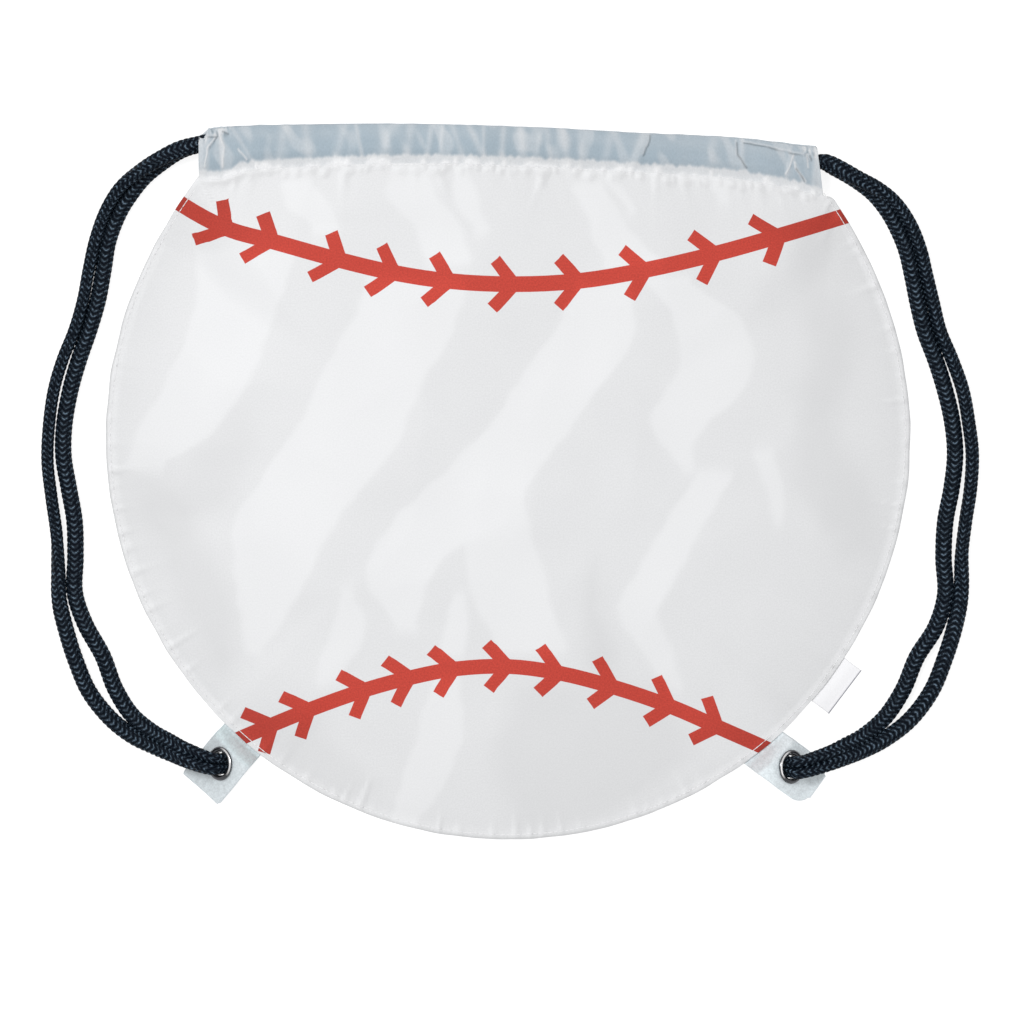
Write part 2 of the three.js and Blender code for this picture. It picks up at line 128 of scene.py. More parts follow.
# Casing rows: where each was measured, its top edge and its stitch line
CASING = (
    (-170, 194.4, 172.6),
    (-156, 195.8, 172.6),
    (-144, 196.4, 177.0),
    (-137, 196.7, 178.0),
    (-60, 197.5, 181.0),
    (14, 195.6, 179.5),
    (73, 192.4, 176.2),
    (124, 190.0, 172.8),
    (161, 186.0, 166.0),
    (172, 185.2, 162.4),
)
CASING_LEFT = CASING[0][0]
CASING_RIGHT = CASING[-1][0]
LEFT_CORNER = math.acos(CASING_LEFT / DISC_RADIUS)
RIGHT_CORNER = math.acos(CASING_RIGHT / DISC_RADIUS)
TOP = 1
STITCH = 2

# Soft folds of the front panel: how steeply each slope rises to the right, and its rows from top
# to bottom, each a height with the slope's left and right edge
FOLDS = (
    (0.03, ((124, -172, -116), (84, -176, -132), (54, -190, -142), (29, -205, -160), (8, -211, -190))),
    (0.08, ((107, -78, -22), (79, -90, -32), (54, -105, -47), (29, -117, -57), (4, -133, -73),
            (-19, -150, -92), (-44, -151, -105), (-69, -149, -120), (-93, -144, -135))),
    (0.08, ((105, 38, 68), (79, 24, 67), (54, 6, 51), (29, -12, 34), (4, -38, 16), (-19, -60, 0),
            (-36, -74, -26), (-55, -76, -42), (-78, -62, -50))),
    (0.07, ((-10, -26, 8), (-30, -26, 14), (-50, -23, 22), (-69, -18, 26), (-90, -6, 32))),
    (0.08, ((107, 76, 100), (95, 87, 122), (79, 94, 132), (64, 94, 133), (49, 86, 127), (34, 79, 112),
            (21, 84, 103), (8, 95, 102))),
    (0.07, ((14, 135, 146), (-5, 143, 152), (-22, 146, 151))),
    (0.08, ((2, 103, 122), (-19, 89, 110), (-44, 74, 97), (-66, 60, 83), (-76, 62, 82), (-89, 72, 89),
            (-110, 89, 98))),
    (0.06, ((-62, -92, -84), (-82, -97, -78), (-98, -104, -86), (-109, -106, -92))),
    (0.06, ((-66, -30, -23), (-80, -35, -22), (-92, -38, -24))),
    (0.06, ((174, -65, -45), (155, -65, -38), (141, -52, -27), (124, -44, -20))),
    (0.06, ((170, -29, -21), (155, -30, -17), (140, -20, -12))),
    (0.06, ((160, 34, 52), (148, 41, 60), (137, 46, 68), (122, 54, 84))),
    (0.06, ((163, -124, -106), (150, -120, -97), (140, -106, -92))),
    (0.06, ((168, 104, 118), (156, 114, 122))),
    (0.06, ((166, 52, 60), (150, 64, 69))),
    (0.05, ((-112, -40, -26), (-140, -52, -26), (-165, -60, -34), (-186, -64, -48))),
    (-0.05, ((-20, -198, -176), (-45, -194, -158), (-65, -184, -150), (-95, -168, -148))),
    (-0.05, ((-2, -214, -186), (-16, -212, -178))),
    (-0.03, ((34, -162, -136), (20, -173, -138), (0, -184, -148), (-16, -184, -162))),
    (-0.04, ((135, 152, 178), (105, 158, 184), (74, 164, 192), (54, 159, 188), (34, 158, 184),
             (9, 157, 190), (-15, 164, 204), (-32, 180, 206))),
    (-0.06, ((-57, 45, 49), (-75, 42, 54), (-94, 40, 62))),
    (-0.04, ((-122, 0, 90), (-150, -10, 100), (-182, 0, 60))),
    (-0.04, ((-140, -138, -100), (-165, -110, -70))),
)
FOLD_FADE = 45
FOLD_WIDEST = 34
FOLD_REACH = 40
FOLD_SIDE = 15
FOLD_END = 15
FOLD_BEND = 0.008
FOLD_WANDER = 3
FOLD_WANDER_SIZE = 42

# Painted sheen of those slopes, highlight and shade put into the cloth's colour: how softly it starts and
# ends, for slopes that catch the light and for those turned away from it
SHEEN_EDGE = (-2.4, 2.2)
SHEEN_END = 5
SHEEN_WANDER = 2.0
SHEEN_WANDER_SIZE = 11
TURNED_EDGE = (-9, 12)
TURNED_END = 14
TURNED_DEPTH = 14

# Reach of the small tucks: gathers down from the casing's seam and a little above it, puckers in from the
# rim, and puffs on both sides of the seam
GATHER_REACH = 50
GATHER_SIDE = 175
GATHER_ABOVE = 3.5
PUCKER_REACH = 30
PUCKER_START = 2.5
PUFF_REACH = 7
PUFF_TALL = 2.3

# Crossing creases of the front casing: place, slant, width and height
FRONT_CREASES = (
    (-165.5, 0.0, 1.6, 0.7), (-157.4, -0.05, 1.0, 0.9), (-145.0, -0.5, 1.2, 0.5), (-124.0, 0.2, 3.0, 0.5),
    (-110.0, -0.15, 2.6, 0.45), (-91.7, 0.25, 2.4, 0.5), (-81.7, -0.2, 1.2, 0.7), (-66.3, 0.3, 2.8, 0.55),
    (-54.0, 0.1, 2.5, 0.5), (-43.0, 0.15, 1.6, 0.6), (-36.5, 0.1, 1.3, 0.5), (-28.0, -0.35, 1.8, 0.5),
    (-18.0, -0.45, 1.8, 0.6), (-13.3, 0.0, 1.0, 0.6), (-2.8, 0.05, 1.6, 0.6), (7.7, -0.1, 2.4, 0.7),
    (17.0, 0.2, 1.6, 0.5), (22.0, -0.1, 1.6, 0.5), (31.0, -0.15, 2.2, 0.6), (40.0, 0.0, 2.0, 0.5),
    (55.0, 0.2, 2.6, 0.4), (71.8, 0.42, 2.6, 0.9), (112.0, 0.1, 2.4, 0.35),
    (128.5, 0.0, 1.5, 0.6), (154.0, 0.15, 1.0, 0.5), (158.0, -0.5, 1.0, 0.6),
    (168.5, 0.1, 1.4, 0.7),
)

# Sharp fold lines across the front casing, sunk into the cloth and darkened with painted shade
CASING_LINES = (
    ((77.9, 191.3), (76.8, 185.3), (74.0, 179.7)),
    ((125.3, 186.9), (125.9, 180.3), (130.9, 173.1)),
    ((129.5, 187.0), (141.0, 184.6), (152.1, 182.1), (162.9, 179.6)),
    ((165.7, 179.4), (166.8, 177.2)),
    ((158.5, 172.3), (162.9, 165.8)),
    ((-165.0, 189.9), (-159.8, 190.3)),
    ((-156.6, 192.9), (-153.4, 191.9)),
    ((-160.0, 189.6), (-163.4, 184.0)),
)

# Thin raised folds of the front casing, lightened with a painted highlight
CASING_RIDGES = (
    ((-161.2, 189.4), (-165.0, 183.4), (-166.6, 173.7)),
    ((-158.3, 191.0), (-156.3, 184.2), (-156.9, 173.7)),
    ((-148.0, 183.6), (-143.6, 178.1)),
    ((156.8, 180.9), (155.6, 176.0), (152.8, 169.8)),
    ((157.6, 176.0), (158.0, 172.6), (163.6, 165.8)),
    ((164.2, 180.0), (165.0, 173.4)),
    ((169.2, 183.0), (168.4, 178.4)),
)

# Where each tab leaves the rim, which way it points, how far out its eyelet sits, and its cloth's tone,
# lighter on the right tab as painted light, with painted light on the left tab's steep wall and painted
# shade on the right one's
TABS = {
    "left": {"x": -146.1, "y": -141.8, "heading": 229.5, "rim": 228.9, "outward": -1, "corner": 0.8,
             "eyelet": 17.6, "tone": 1.03, "wall": (1.0, 1.06, 1.05)},
    "right": {"x": 141.6, "y": -147.3, "heading": 324.0, "rim": -50.5, "outward": 1, "corner": 7.5,
              "eyelet": 16.5, "tone": 1.28, "wall": (0.92, 0.9, 0.895)},
}

# What is sewn into the rim seam: its angle, half width and thickness
SEWN_IN = (
    (math.radians(TABS["left"]["rim"]), 13.5, 2.8),
    (math.radians(TABS["right"]["rim"]), 13.5, 2.8),
    (LABEL_ANGLE, 15.2, 1.6),
)

# How far past those edges the front and the back cloth are lifted, and over how much more that fades
FRONT_LIFT = (2, 16)
BACK_LIFT = (0, 3)

# Strap strands from the casing to the eyelet: x and y, and the height where it isn't the resting one
STRANDS = {
    "left_outer": (
        (-172.4, 185.4, 12.4), (-176.5, 184.1, 12.4), (-182, 182.3, 12.2), (-192, 177.4, 11.6),
        (-203, 170.6, 10.2), (-213.2, 162.6, 8.2), (-221.4, 150.0, 6.2), (-227.5, 133.4, 5.0),
        (-231.2, 116.8, 3.9), (-234.3, 100.2), (-239.0, 83.7), (-245.6, 67.1),
        (-250.4, 50.5), (-253.2, 30), (-253.9, 11), (-251.7, -9),
        (-248.8, -30), (-248.0, -49), (-247.4, -66), (-243.2, -84),
        (-238, -100), (-231, -116), (-219, -131, 3.8), (-207, -140.8, 4.4),
        (-196, -146.6, 7.4), (-186, -151, 12.4), (-176, -155, 17.2),
    ),
    "left_inner": (
        (-172.4, 184.9, 4.0), (-176.5, 184.1, 4.0), (-182, 181.8, 3.9), (-191.6, 175.4, 3.8),
        (-200.4, 168.2), (-207.6, 159.4), (-214.2, 149.0), (-220.4, 133),
        (-223.2, 116.6), (-226.2, 100.2), (-231.0, 83.7), (-236.7, 67.1),
        (-241.4, 50.5), (-244.8, 31), (-245.2, 14), (-242.2, -4),
        (-239.1, -22), (-238.6, -42), (-239.0, -61), (-233.5, -78),
        (-223.4, -96.5), (-216.8, -114), (-207.6, -128.2, 3.9), (-196.6, -136.6, 6.6),
        (-186.4, -141.6, 11.8), (-176, -146.4, 17.0),
    ),
    "right_outer": (
        (174.4, 176.0, 12.4), (181.5, 172.7, 12.3), (191.6, 167.2, 11.8), (202.7, 161.6, 10.2),
        (213.2, 153.8, 8.0), (221.6, 141.8, 6.2), (227.2, 128, 4.8), (230.9, 113, 3.9),
        (234.4, 98.6), (238.2, 83.2), (244.9, 67.1), (250.7, 50.5),
        (254.1, 32), (256, 15), (255, -4), (252.3, -22),
        (250.2, -40), (249.8, -62), (246.4, -80), (240.8, -98),
        (233.6, -115.4), (221.8, -131.2, 3.8), (208.4, -142, 4.4), (196.6, -148.6, 7.6),
        (185.6, -153, 12.8), (175, -156.8, 17.4),
    ),
    "right_inner": (
        (174.4, 176.0, 4.0), (181, 172.6, 3.9), (191.4, 166.6, 3.8), (201.4, 159.0),
        (209, 149.8), (214.6, 140.0), (219.6, 127.9), (223.1, 113),
        (226, 98.4), (229.8, 83), (235.8, 67.1), (241, 50.5),
        (245, 33), (246.6, 15), (244.6, -4), (241.2, -22),
        (240.2, -42), (241.2, -62), (236, -80), (225.4, -97),
        (218, -114.6), (208, -129.6, 3.9), (196.6, -138.8, 6.6), (185.4, -144.2, 12.0),
        (174.6, -148.6, 17.2),
    ),
}
STRAND_REST = 3.7
STRAND_LIFTED = 8
BRAID_CLEAR = 0.48
BRAID_COLUMNS = 6
BRAID_LEAN = 1.15
BRAID_TUCK = 0.55
BRAID_MIDDLE = 0.6
CORD_ROUNDING = 0.85

# Roll of a strand along its length: share of the way, and degrees up from lying flat
STRAND_ROLL = {
    "outer": ((0.0, 0), (0.03, 0), (0.12, 80), (0.58, 84), (0.68, 8), (0.9, 6), (0.982, 84), (1.0, 90)),
    "inner": ((0.0, 0), (0.9, 6), (0.982, 84), (1.0, 90)),
}

# Start of a strand inside the casing: how far in its first two points lie, and how much farther up the bag
# the first one is, for the left outer strand and for the others
STRAND_INSIDE = (7, 3.4)
STEEP_START = 2.3
FLAT_START = 0.2

# Squeezing of a strand, in shares of its way: in the casing, and before the eyelet, where the two strands
# also close up
CASING_SQUEEZE = 0.78
CASING_SQUEEZE_END = 0.03
EYELET_SQUEEZE = 0.88
EYELET_SQUEEZE_RUN = (0.86, 0.93)
CLOSE_UP = 0.95
CLOSE_UP_RUN = (0.78, 0.86)

# Way of a strand through the eyelet: how far in front of it, and how far to the side
EYELET_WAY = ((8.4, 3.0), (4.6, 2.75), (0.4, 2.65), (-3.2, 2.55))

# Knot behind an eyelet, and the half width, half height and roll of the cord in it and in the casings
KNOT_RADIUS = 5.9
KNOT_BEHIND = 6.6
KNOT_HEIGHT = 4.9
KNOT_WEAVE = 1.7
KNOT_STEPS = 24
KNOT_SECTION = (3.0, 2.7, 0.0)
CHANNEL_SECTION = (3.2, 2.7, 0.0)

# Stations of the cords inside the casings, how far from each end they turn and in which steps, and how
# their start is led to where the strand goes on
CHANNEL_STATIONS = (-163, -155, -138, -108, -70, -32, 8, 46, 82, 110, 130, 146, 160)
CHANNEL_OFFSET = 3.4
TURN_INSET = {"left": 26, "right": 12}
TURN_STEPS = (30, 60, 90, 120, 150)
RUN_START = 0.6
RUN_GAP = 4
DRIFT_RUN = (1, 15)

# Casing cloth round its fold: its flat length, the share of rows on the front one's outer face, the
# stretch of the inner layer that is cut away near its ends, and the shares of its height where it swells
# over the cord and where its rolled top edge begins
CASING_WRAP = 0.046
FACE_ROWS = 0.7
INNER_CUT = (0.565, 0.785)
SWELL_RUN = (0.04, 0.48)
ROLL_START = 0.74

# Printed seam stripes: apex of each printed stitch, with its upper and lower tip
TOP_STRIPE = (
    ((-155.2, 139.7), (-158.7, 154.3), (-173.0, 131.8)),
    ((-130.2, 132.7), (-135.0, 146.7), (-147.1, 122.8)),
    ((-92.5, 122.2), (-98.5, 137.1), (-109.7, 112.5)),
    ((-62.5, 115.2), (-71.1, 130.6), (-77.3, 104.7)),
    ((-32.2, 110.7), (-40.9, 125.3), (-45.9, 99.5)),
    ((3.5, 109.0), (-8.4, 122.2), (-8.2, 96.5)),
    ((39.2, 110.8), (27.3, 123.2), (27.0, 97.8)),
    ((76.1, 116.9), (62.2, 128.1), (67.5, 102.2)),
    ((114.9, 125.9), (100.6, 135.0), (106.8, 109.8)),
    ((149.8, 135.7), (132.8, 144.4), (144.2, 120.8)),
)
TOP_STRIPE_ENDS = ((-205.5, 171.8), (-180.0, 152.9)), ((185.9, 146.6), (211.3, 154.9))
BOTTOM_STRIPE = (
    ((-130.2, -134.3), (-144.5, -127.0), (-132.9, -149.5)),
    ((-109.5, -125.9), (-123.0, -116.7), (-113.5, -140.6)),
    ((-78.5, -114.9), (-92.0, -105.5), (-83.8, -129.9)),
    ((-54.1, -108.3), (-66.1, -97.8), (-61.3, -123.4)),
    ((-29.4, -103.5), (-40.1, -92.1), (-36.7, -118.1)),
    ((0.0, -102.1), (-9.4, -89.5), (-10.3, -114.9)),
    ((28.4, -105.8), (19.2, -92.1), (18.2, -117.3)),
    ((58.3, -113.5), (51.5, -99.2), (46.6, -124.1)),
    ((89.8, -124.2), (83.8, -108.1), (77.8, -132.8)),
    ((115.8, -135.5), (111.8, -121.3), (102.4, -143.9)),
)
BOTTOM_STRIPE_ENDS = ((-175.6, -154.3), (-145.9, -140.9)), ((141.2, -146.7), (168.4, -159.3))
TOP_PRINT_SIZE = 1.03
BOTTOM_PRINT_SIZE = 0.965
STITCH_WINDOW = (-17.5, 5.0)
STITCH_SCALE = 24.0
ARM_ANGLE = math.radians(49)
ARM_LENGTH = 17.2
INK_EDGE = 0.12

# Where the photo was taken from. Its print was measured from there, with the cloth nearer than the floor,
# and the raised casing is seen farther out than it lies by a share of its height
EYE = (2.2, -16.8, 3142)
SEEN_SHARE = 0.066
SENSOR_WIDTH = 36


class BagSizes(PropertyGroup):
    """Sizes of the sewn bag."""

    cloth: FloatProperty(name="Cloth", description="Thickness of the panel cloth", default=0.6 * MM,
                         min=0.0001, unit="LENGTH")
    puff: FloatProperty(name="Puff", description="Height of the front panel in its middle", default=19 * MM,
                        unit="LENGTH")
    rim: FloatProperty(name="Rim", description="Height of the sewn rim", default=1.4 * MM, unit="LENGTH")
    stripe: FloatProperty(name="Stripe", description="Width of the printed seam stripes", default=8.5 * MM,
                          unit="LENGTH")
    arm: FloatProperty(name="Printed stitch", description="Width of the printed stitches", default=7.0 * MM,
                       unit="LENGTH")
    stitch_pitch: FloatProperty(name="Stitch pitch", description="Distance from one stitch to the next",
                                default=3.0 * MM, unit="LENGTH")
    stitch_inset: FloatProperty(name="Stitch inset", description="Distance of the topstitch from the rim",
                                default=2.6 * MM, unit="LENGTH")


class CordSizes(PropertyGroup):
    """Sizes of the braided cord."""

    width: FloatProperty(name="Width", description="Width of the flat braided cord", default=8.6 * MM,
                         unit="LENGTH")
    height: FloatProperty(name="Height", description="Thickness of the flat braided cord", default=6.6 * MM,
                          unit="LENGTH")
    pitch: FloatProperty(name="Braid pitch", description="Length of one chevron of the braid",
                         default=3.1 * MM, unit="LENGTH")
    relief: FloatProperty(name="Relief", description="How far the braid strands stand out",
                          default=0.75 * MM, unit="LENGTH")


class BagColours(PropertyGroup):
    """Colours of the bag's materials."""

    cloth: FloatVectorProperty(name="Cloth", description="White panel cloth", subtype="COLOR",
                               default=(0.71, 0.715, 0.725), min=0, max=1)
    casing: FloatVectorProperty(name="Casing", description="Casing cloth with the cords showing through",
                                subtype="COLOR", default=(0.334, 0.407, 0.464), min=0, max=1)
    print_red: FloatVectorProperty(name="Print", description="Printed seam stripes", subtype="COLOR",
                                   default=(0.52, 0.055, 0.0375), min=0, max=1)
    tab: FloatVectorProperty(name="Tab", description="Folded tab cloth", subtype="COLOR",
                             default=(0.60, 0.65, 0.675), min=0, max=1)
    cord: FloatVectorProperty(name="Cord", description="Braided cord", subtype="COLOR",
                              default=(0.004, 0.0115, 0.028), min=0, max=1)
    metal: FloatVectorProperty(name="Eyelet", description="Gunmetal eyelets", subtype="COLOR",
                               default=(0.09, 0.092, 0.1), min=0, max=1)
    label: FloatVectorProperty(name="Label", description="Woven side label", subtype="COLOR",
                               default=(0.90, 0.90, 0.92), min=0, max=1)
    thread: FloatVectorProperty(name="Thread", description="Sewing thread", subtype="COLOR",
                                default=(0.85, 0.85, 0.86), min=0, max=1)


class StageSettings(PropertyGroup):
    """Camera and studio light."""

    view_width: FloatProperty(name="View width", description="Width of the floor that the camera sees",
                              default=0.5655, unit="LENGTH")
    lens: FloatProperty(name="Lens", description="Focal length of the camera", default=200, unit="CAMERA")
    surround: FloatProperty(name="Surround", description="Strength of the even light all round",
                            default=0.68)
    key: FloatProperty(name="Key light", description="Power of the large light at the upper left",
                       default=38, unit="POWER")
    fill: FloatProperty(name="Fill light", description="Power of the light at the right", default=4,
                        unit="POWER")
    floor: FloatVectorProperty(name="Floor", description="Colour of the floor", subtype="COLOR",
                               default=(0.3, 0.3, 0.3), min=0, max=1)


def clamp(value, low=0.0, high=1.0):
    """The value, kept between low and high."""
    return max(low, min(high, value))


def lerp(start, end, share):
    """The value a share of the way from start to end."""
    return start + (end - start) * share


def smoothstep(value, low, high):
    """0 up to low and 1 from high on, with a soft rise between them."""
    share = clamp((value - low) / (high - low))
    return share * share * (3 - 2 * share)


def along_table(rows, position):
    """Straight-line value between the rows of a table, held at its ends."""
    if position <= rows[0][0]:
        return rows[0][1]
    for (start, low), (end, high) in zip(rows, rows[1:]):
        if position <= end:
            return lerp(low, high, (position - start) / (end - start))
    return rows[-1][1]


def soft_value(rows, column, position):
    """Soft curve through one column of a table whose first column runs steadily up or down."""
    rising = rows[-1][0] > rows[0][0]
    row = 0
    while row < len(rows) - 2 and (position > rows[row + 1][0]) == rising:
        row += 1
    before = rows[max(row - 1, 0)]
    here = rows[row]
    after = rows[row + 1]
    beyond = rows[min(row + 2, len(rows) - 1)]
    span = after[0] - here[0]
    share = clamp((position - here[0]) / span)
    start_slope = (after[column] - before[column]) / (after[0] - before[0]) * span
    end_slope = (beyond[column] - here[column]) / (beyond[0] - here[0]) * span
    s2 = share * share
    s3 = s2 * share
    return ((2 * s3 - 3 * s2 + 1) * here[column] + (s3 - 2 * s2 + share) * start_slope
            + (3 * s2 - 2 * s3) * after[column] + (s3 - s2) * end_slope)


def casing_at(column, x):
    """Top edge or stitch line of the casing at one x."""
    return soft_value(CASING, column, x)


def front_casing_z(x):
    """Middle height of the front casing, which arches over the mouth."""
    share = (x - (CASING_LEFT + CASING_RIGHT) / 2) / ((CASING_RIGHT - CASING_LEFT) / 2)
    return 3 * CASING_HALF + CASING_GAP + MOUTH_ARCH * max(0.0, 1 - share * share)


def back_casing_z(_):
    """Middle height of the back casing, which lies flat on the floor all along."""
    return BACK_CASING_Z


def seen_shift(x):
    """How much farther from the middle the raised casing is seen than it lies."""
    return SEEN_SHARE * front_casing_z(x)


def seam_at(x):
    """Sewn line between a panel and its casing, a little below where the cords show through."""
    return casing_at(STITCH, x) - SEAM_DROP - seen_shift(x)


def mouth_ratio(x):
    """How much lower or higher the sewn line lies than the full circle would, at one x."""
    inside = clamp(x, CASING_LEFT, CASING_RIGHT)
    circle = math.sqrt(DISC_RADIUS ** 2 - inside ** 2)
    ratio = (seam_at(inside) + SEAM_OVERLAP - DISC_Y) / circle
    past = abs(x - inside)
    return lerp(ratio, 1.0, smoothstep(past, 0, CORNER_BLEND))


def panel_share(x, y):
    """How far out a point lies, 0 in the middle to 1 on the edge, and its direction on the full circle."""
    up = y - DISC_Y
    if up > 0:
        up /= mouth_ratio(x)
    return math.hypot(x, up) / DISC_RADIUS, math.atan2(up, x)


def sewn_lift(angle, past, fade):
    """How much the tabs and the label in the seam lift the cloth on them, fading out past their edges."""
    lift = 0.0
    for rim, half, height in SEWN_IN:
        away = math.acos(clamp(math.cos(angle - rim), -1, 1)) * DISC_RADIUS
        lift = max(lift, height * (1 - smoothstep(away, half + past, half + past + fade)))
    return lift


def from_casing(angle):
    """Distance along the rim from the nearer end of the casing."""
    past = angle + 2 * math.pi if angle < RIGHT_CORNER else angle
    return max(0.0, min(past - LEFT_CORNER, RIGHT_CORNER + 2 * math.pi - past) * DISC_RADIUS)


def edge_height(angle, rim):
    """Top of the front panel on its edge."""
    if RIGHT_CORNER <= angle <= LEFT_CORNER:
        return front_casing_z(DISC_RADIUS * math.cos(angle)) + SEAM_STEP
    rise = 1 - smoothstep(from_casing(angle), 0, CORNER_RISE)
    return lerp(rim + sewn_lift(angle, *FRONT_LIFT), SHOULDER, rise)


def back_rise(angle, rim):
    """How far the back panel's edge is lifted to meet the front one's in the seam, below the casings."""
    if RIGHT_CORNER <= angle <= LEFT_CORNER:
        return 0.0
    gap = edge_height(angle, rim) - rim - sewn_lift(angle, *BACK_LIFT)
    return max(0.0, gap) * smoothstep(from_casing(angle), SEAM_STOP, SEAM_STOP + SEAM_FADE)


def line_distance(points, x, y):
    """Distance to a line of points, with the place along it, its side and its run there."""
    best = (1e9, 0.0, 0.0, (1.0, 0.0))
    travelled = 0.0
    for (ax, ay), (bx, by) in zip(points, points[1:]):
        run_x = bx - ax
        run_y = by - ay
        length = math.hypot(run_x, run_y)
        share = clamp(((x - ax) * run_x + (y - ay) * run_y) / (length * length))
        off_x = x - ax - share * run_x
        off_y = y - ay - share * run_y
        away = math.hypot(off_x, off_y)
        if away < best[0]:
            side = run_x * off_y - run_y * off_x
            best = (away, travelled + share * length, side, (run_x / length, run_y / length))
        travelled += length
    return best


def spline_points(points, per_span=14):
    """Soft curve through the points, close together."""
    ends = [points[0] * 2 - points[1]] + list(points) + [points[-1] * 2 - points[-2]]
    curve = []
    for before, start, end, after in zip(ends, ends[1:], ends[2:], ends[3:]):
        times = [0.0]
        for first, second in ((before, start), (start, end), (end, after)):
            times.append(times[-1] + max(1e-6, (second - first).length ** 0.5))
        for step in range(per_span):
            t = lerp(times[1], times[2], step / per_span)
            a1 = before.lerp(start, t / times[1])
            a2 = start.lerp(end, (t - times[1]) / (times[2] - times[1]))
            a3 = end.lerp(after, (t - times[2]) / (times[3] - times[2]))
            b1 = a1.lerp(a2, t / times[2])
            b2 = a2.lerp(a3, (t - times[1]) / (times[3] - times[1]))
            curve.append(b1.lerp(b2, (t - times[1]) / (times[2] - times[1])))
    curve.append(points[-1].copy())
    return curve


def make_gathers():
    """Short tucks down from the casing's stitch line: place, slant, reach, width and height."""
    source = random.Random(11)
    gathers = []
    x = CASING_LEFT + 4
    while x < CASING_RIGHT - 3:
        gathers.append((x, source.uniform(-0.4, 0.4), source.uniform(5, 26),
                        source.uniform(1.6, 4.2), source.uniform(0.12, 0.6)))
        x += source.uniform(4.5, 11)
    return gathers


def make_puckers():
    """Small tucks that the rim seam pulls into the cloth: angle, reach, width and height."""
    source = random.Random(23)
    puckers = []
    angle = LEFT_CORNER - 2 * math.pi
    while angle < RIGHT_CORNER:
        puckers.append((angle, source.uniform(4, 14), source.uniform(1.3, 2.8), source.uniform(0.2, 0.75)))
        angle += source.uniform(5, 15) / DISC_RADIUS
    return puckers


def make_puffs():
    """Place, width, height and shift of each puff along the casing's seam."""
    source = random.Random(37)
    puffs = []
    x = CASING_LEFT + 2
    while x < CASING_RIGHT - 2:
        puffs.append((x, source.uniform(0.9, 2.8), source.uniform(0.25, 1.1), source.uniform(-2.6, 2.2)))
        x += source.uniform(1.8, 5.6)
    return puffs


GATHERS = make_gathers()
PUFFS = make_puffs()
PUFF_PLACES = [row[0] for row in PUFFS]
PUCKERS = make_puckers()
PUCKER_ANGLES = [row[0] for row in PUCKERS]


def nearby_folds(x, y):
    """Each fold near a point: distance past its left edge, its width, its steepness, and distance past
    its ends."""
    drift = Vector((x / FOLD_WANDER_SIZE, y / FOLD_WANDER_SIZE, 3.1))
    x += FOLD_WANDER * noise.noise(drift)
    y += FOLD_WANDER * noise.noise(drift + Vector((9.3, 4.1, 0)))
    for steepness, rows in FOLDS:
        past = max(0.0, y - rows[0][0], rows[-1][0] - y)
        if past > FOLD_REACH:
            continue
        left = soft_value(rows, 1, y)
        if x > left - FOLD_SIDE:
            yield x - left, max(2.0, soft_value(rows, 2, y) - left), steepness, past


def fold_height(x, y):
    """Soft folds: each rises across its lit slope and sinks slowly beyond it."""
    height = 0.0
    for across, width, steepness, past in nearby_folds(x, y):
        share = across / width
        slope = 0.5 * (math.sqrt(share * share + FOLD_BEND) - math.sqrt((share - 1) ** 2 + FOLD_BEND) + 1)
        fade = math.exp(-((max(0.0, across - width) / FOLD_FADE) ** 2) - (past / FOLD_END) ** 2)
        height += steepness * min(width, FOLD_WIDEST) * slope * fade
    return height


def painted_fold_sheen(x, y):
    """Painted satin sheen: near 1 on slopes painted as lit, negative on those painted as turned away from
    the light.
    """
    fine = Vector((x / SHEEN_WANDER_SIZE, y / SHEEN_WANDER_SIZE, 8.2))
    x += SHEEN_WANDER * noise.noise(fine)
    y += SHEEN_WANDER * noise.noise(fine + Vector((2.7, 6.4, 0)))
    sheen = 0.0
    for across, width, steepness, past in nearby_folds(x, y):
        inside = min(across, width - across)
        if steepness > 0:
            sheen += smoothstep(inside, *SHEEN_EDGE) * math.exp(-((past / SHEEN_END) ** 2))
        else:
            turned = TURNED_DEPTH * -steepness * smoothstep(inside, *TURNED_EDGE)
            sheen -= turned * math.exp(-((past / TURNED_END) ** 2))
    return clamp(sheen, -1.0, 1.0)


def puff_height(x, y):
    """Small puffs of cloth between the stitches of the casing's seam."""
    level = y - seam_at(clamp(x, CASING_LEFT, CASING_RIGHT))
    if abs(level) > PUFF_REACH:
        return 0.0
    height = 0.0
    place = bisect_left(PUFF_PLACES, x)
    for start, width, rise, drop in PUFFS[max(0, place - 3):place + 3]:
        height += rise * math.exp(-(((x - start) / width) ** 2) - ((level - drop) / PUFF_TALL) ** 2)
    return height


def gather_height(x, y):
    """Tucks that run down from the casing's seam, with the puffs between its stitches."""
    below = seam_at(clamp(x, CASING_LEFT, CASING_RIGHT)) - y
    if below > GATHER_REACH or abs(x) > GATHER_SIDE:
        return 0.0
    height = 0.0
    for start, slant, reach, width, rise in GATHERS:
        across = x - start - slant * max(0.0, below)
        if abs(across) < 3 * width:
            fade = math.exp(-below / reach * 1.6) if below > 0 else math.exp(below / GATHER_ABOVE)
            height += rise * math.exp(-((across / width) ** 2)) * fade
    return height + puff_height(x, y)


def pucker_height(share, angle):
    """Tucks that the rim seam pulls into the cloth."""
    inward = (1 - share) * DISC_RADIUS
    if inward > PUCKER_REACH or RIGHT_CORNER < angle < LEFT_CORNER:
        return 0.0
    turned = angle - 2 * math.pi if angle > RIGHT_CORNER else angle
    height = 0.0
    place = bisect_left(PUCKER_ANGLES, turned)
    for row in PUCKERS[max(0, place - 2):place + 2]:
        across = (turned - row[0]) * DISC_RADIUS
        height += row[3] * math.exp(-((across / row[2]) ** 2)) * math.exp(-inward / row[1])
    return height * smoothstep(inward, 0, PUCKER_START)


def crumple_height(x, y):
    """Slight unevenness of cloth that has been folded and opened again."""
    broad = noise.noise(Vector((x / 34, y / 34, 0.7)))
    sharp = 1 - abs(noise.noise(Vector((x / 46, y / 58, 5.2)))) * 2
    fine = noise.noise(Vector((x / 13, y / 15, 8.4)))
    return 0.45 * broad + 0.55 * sharp + 0.1 * fine


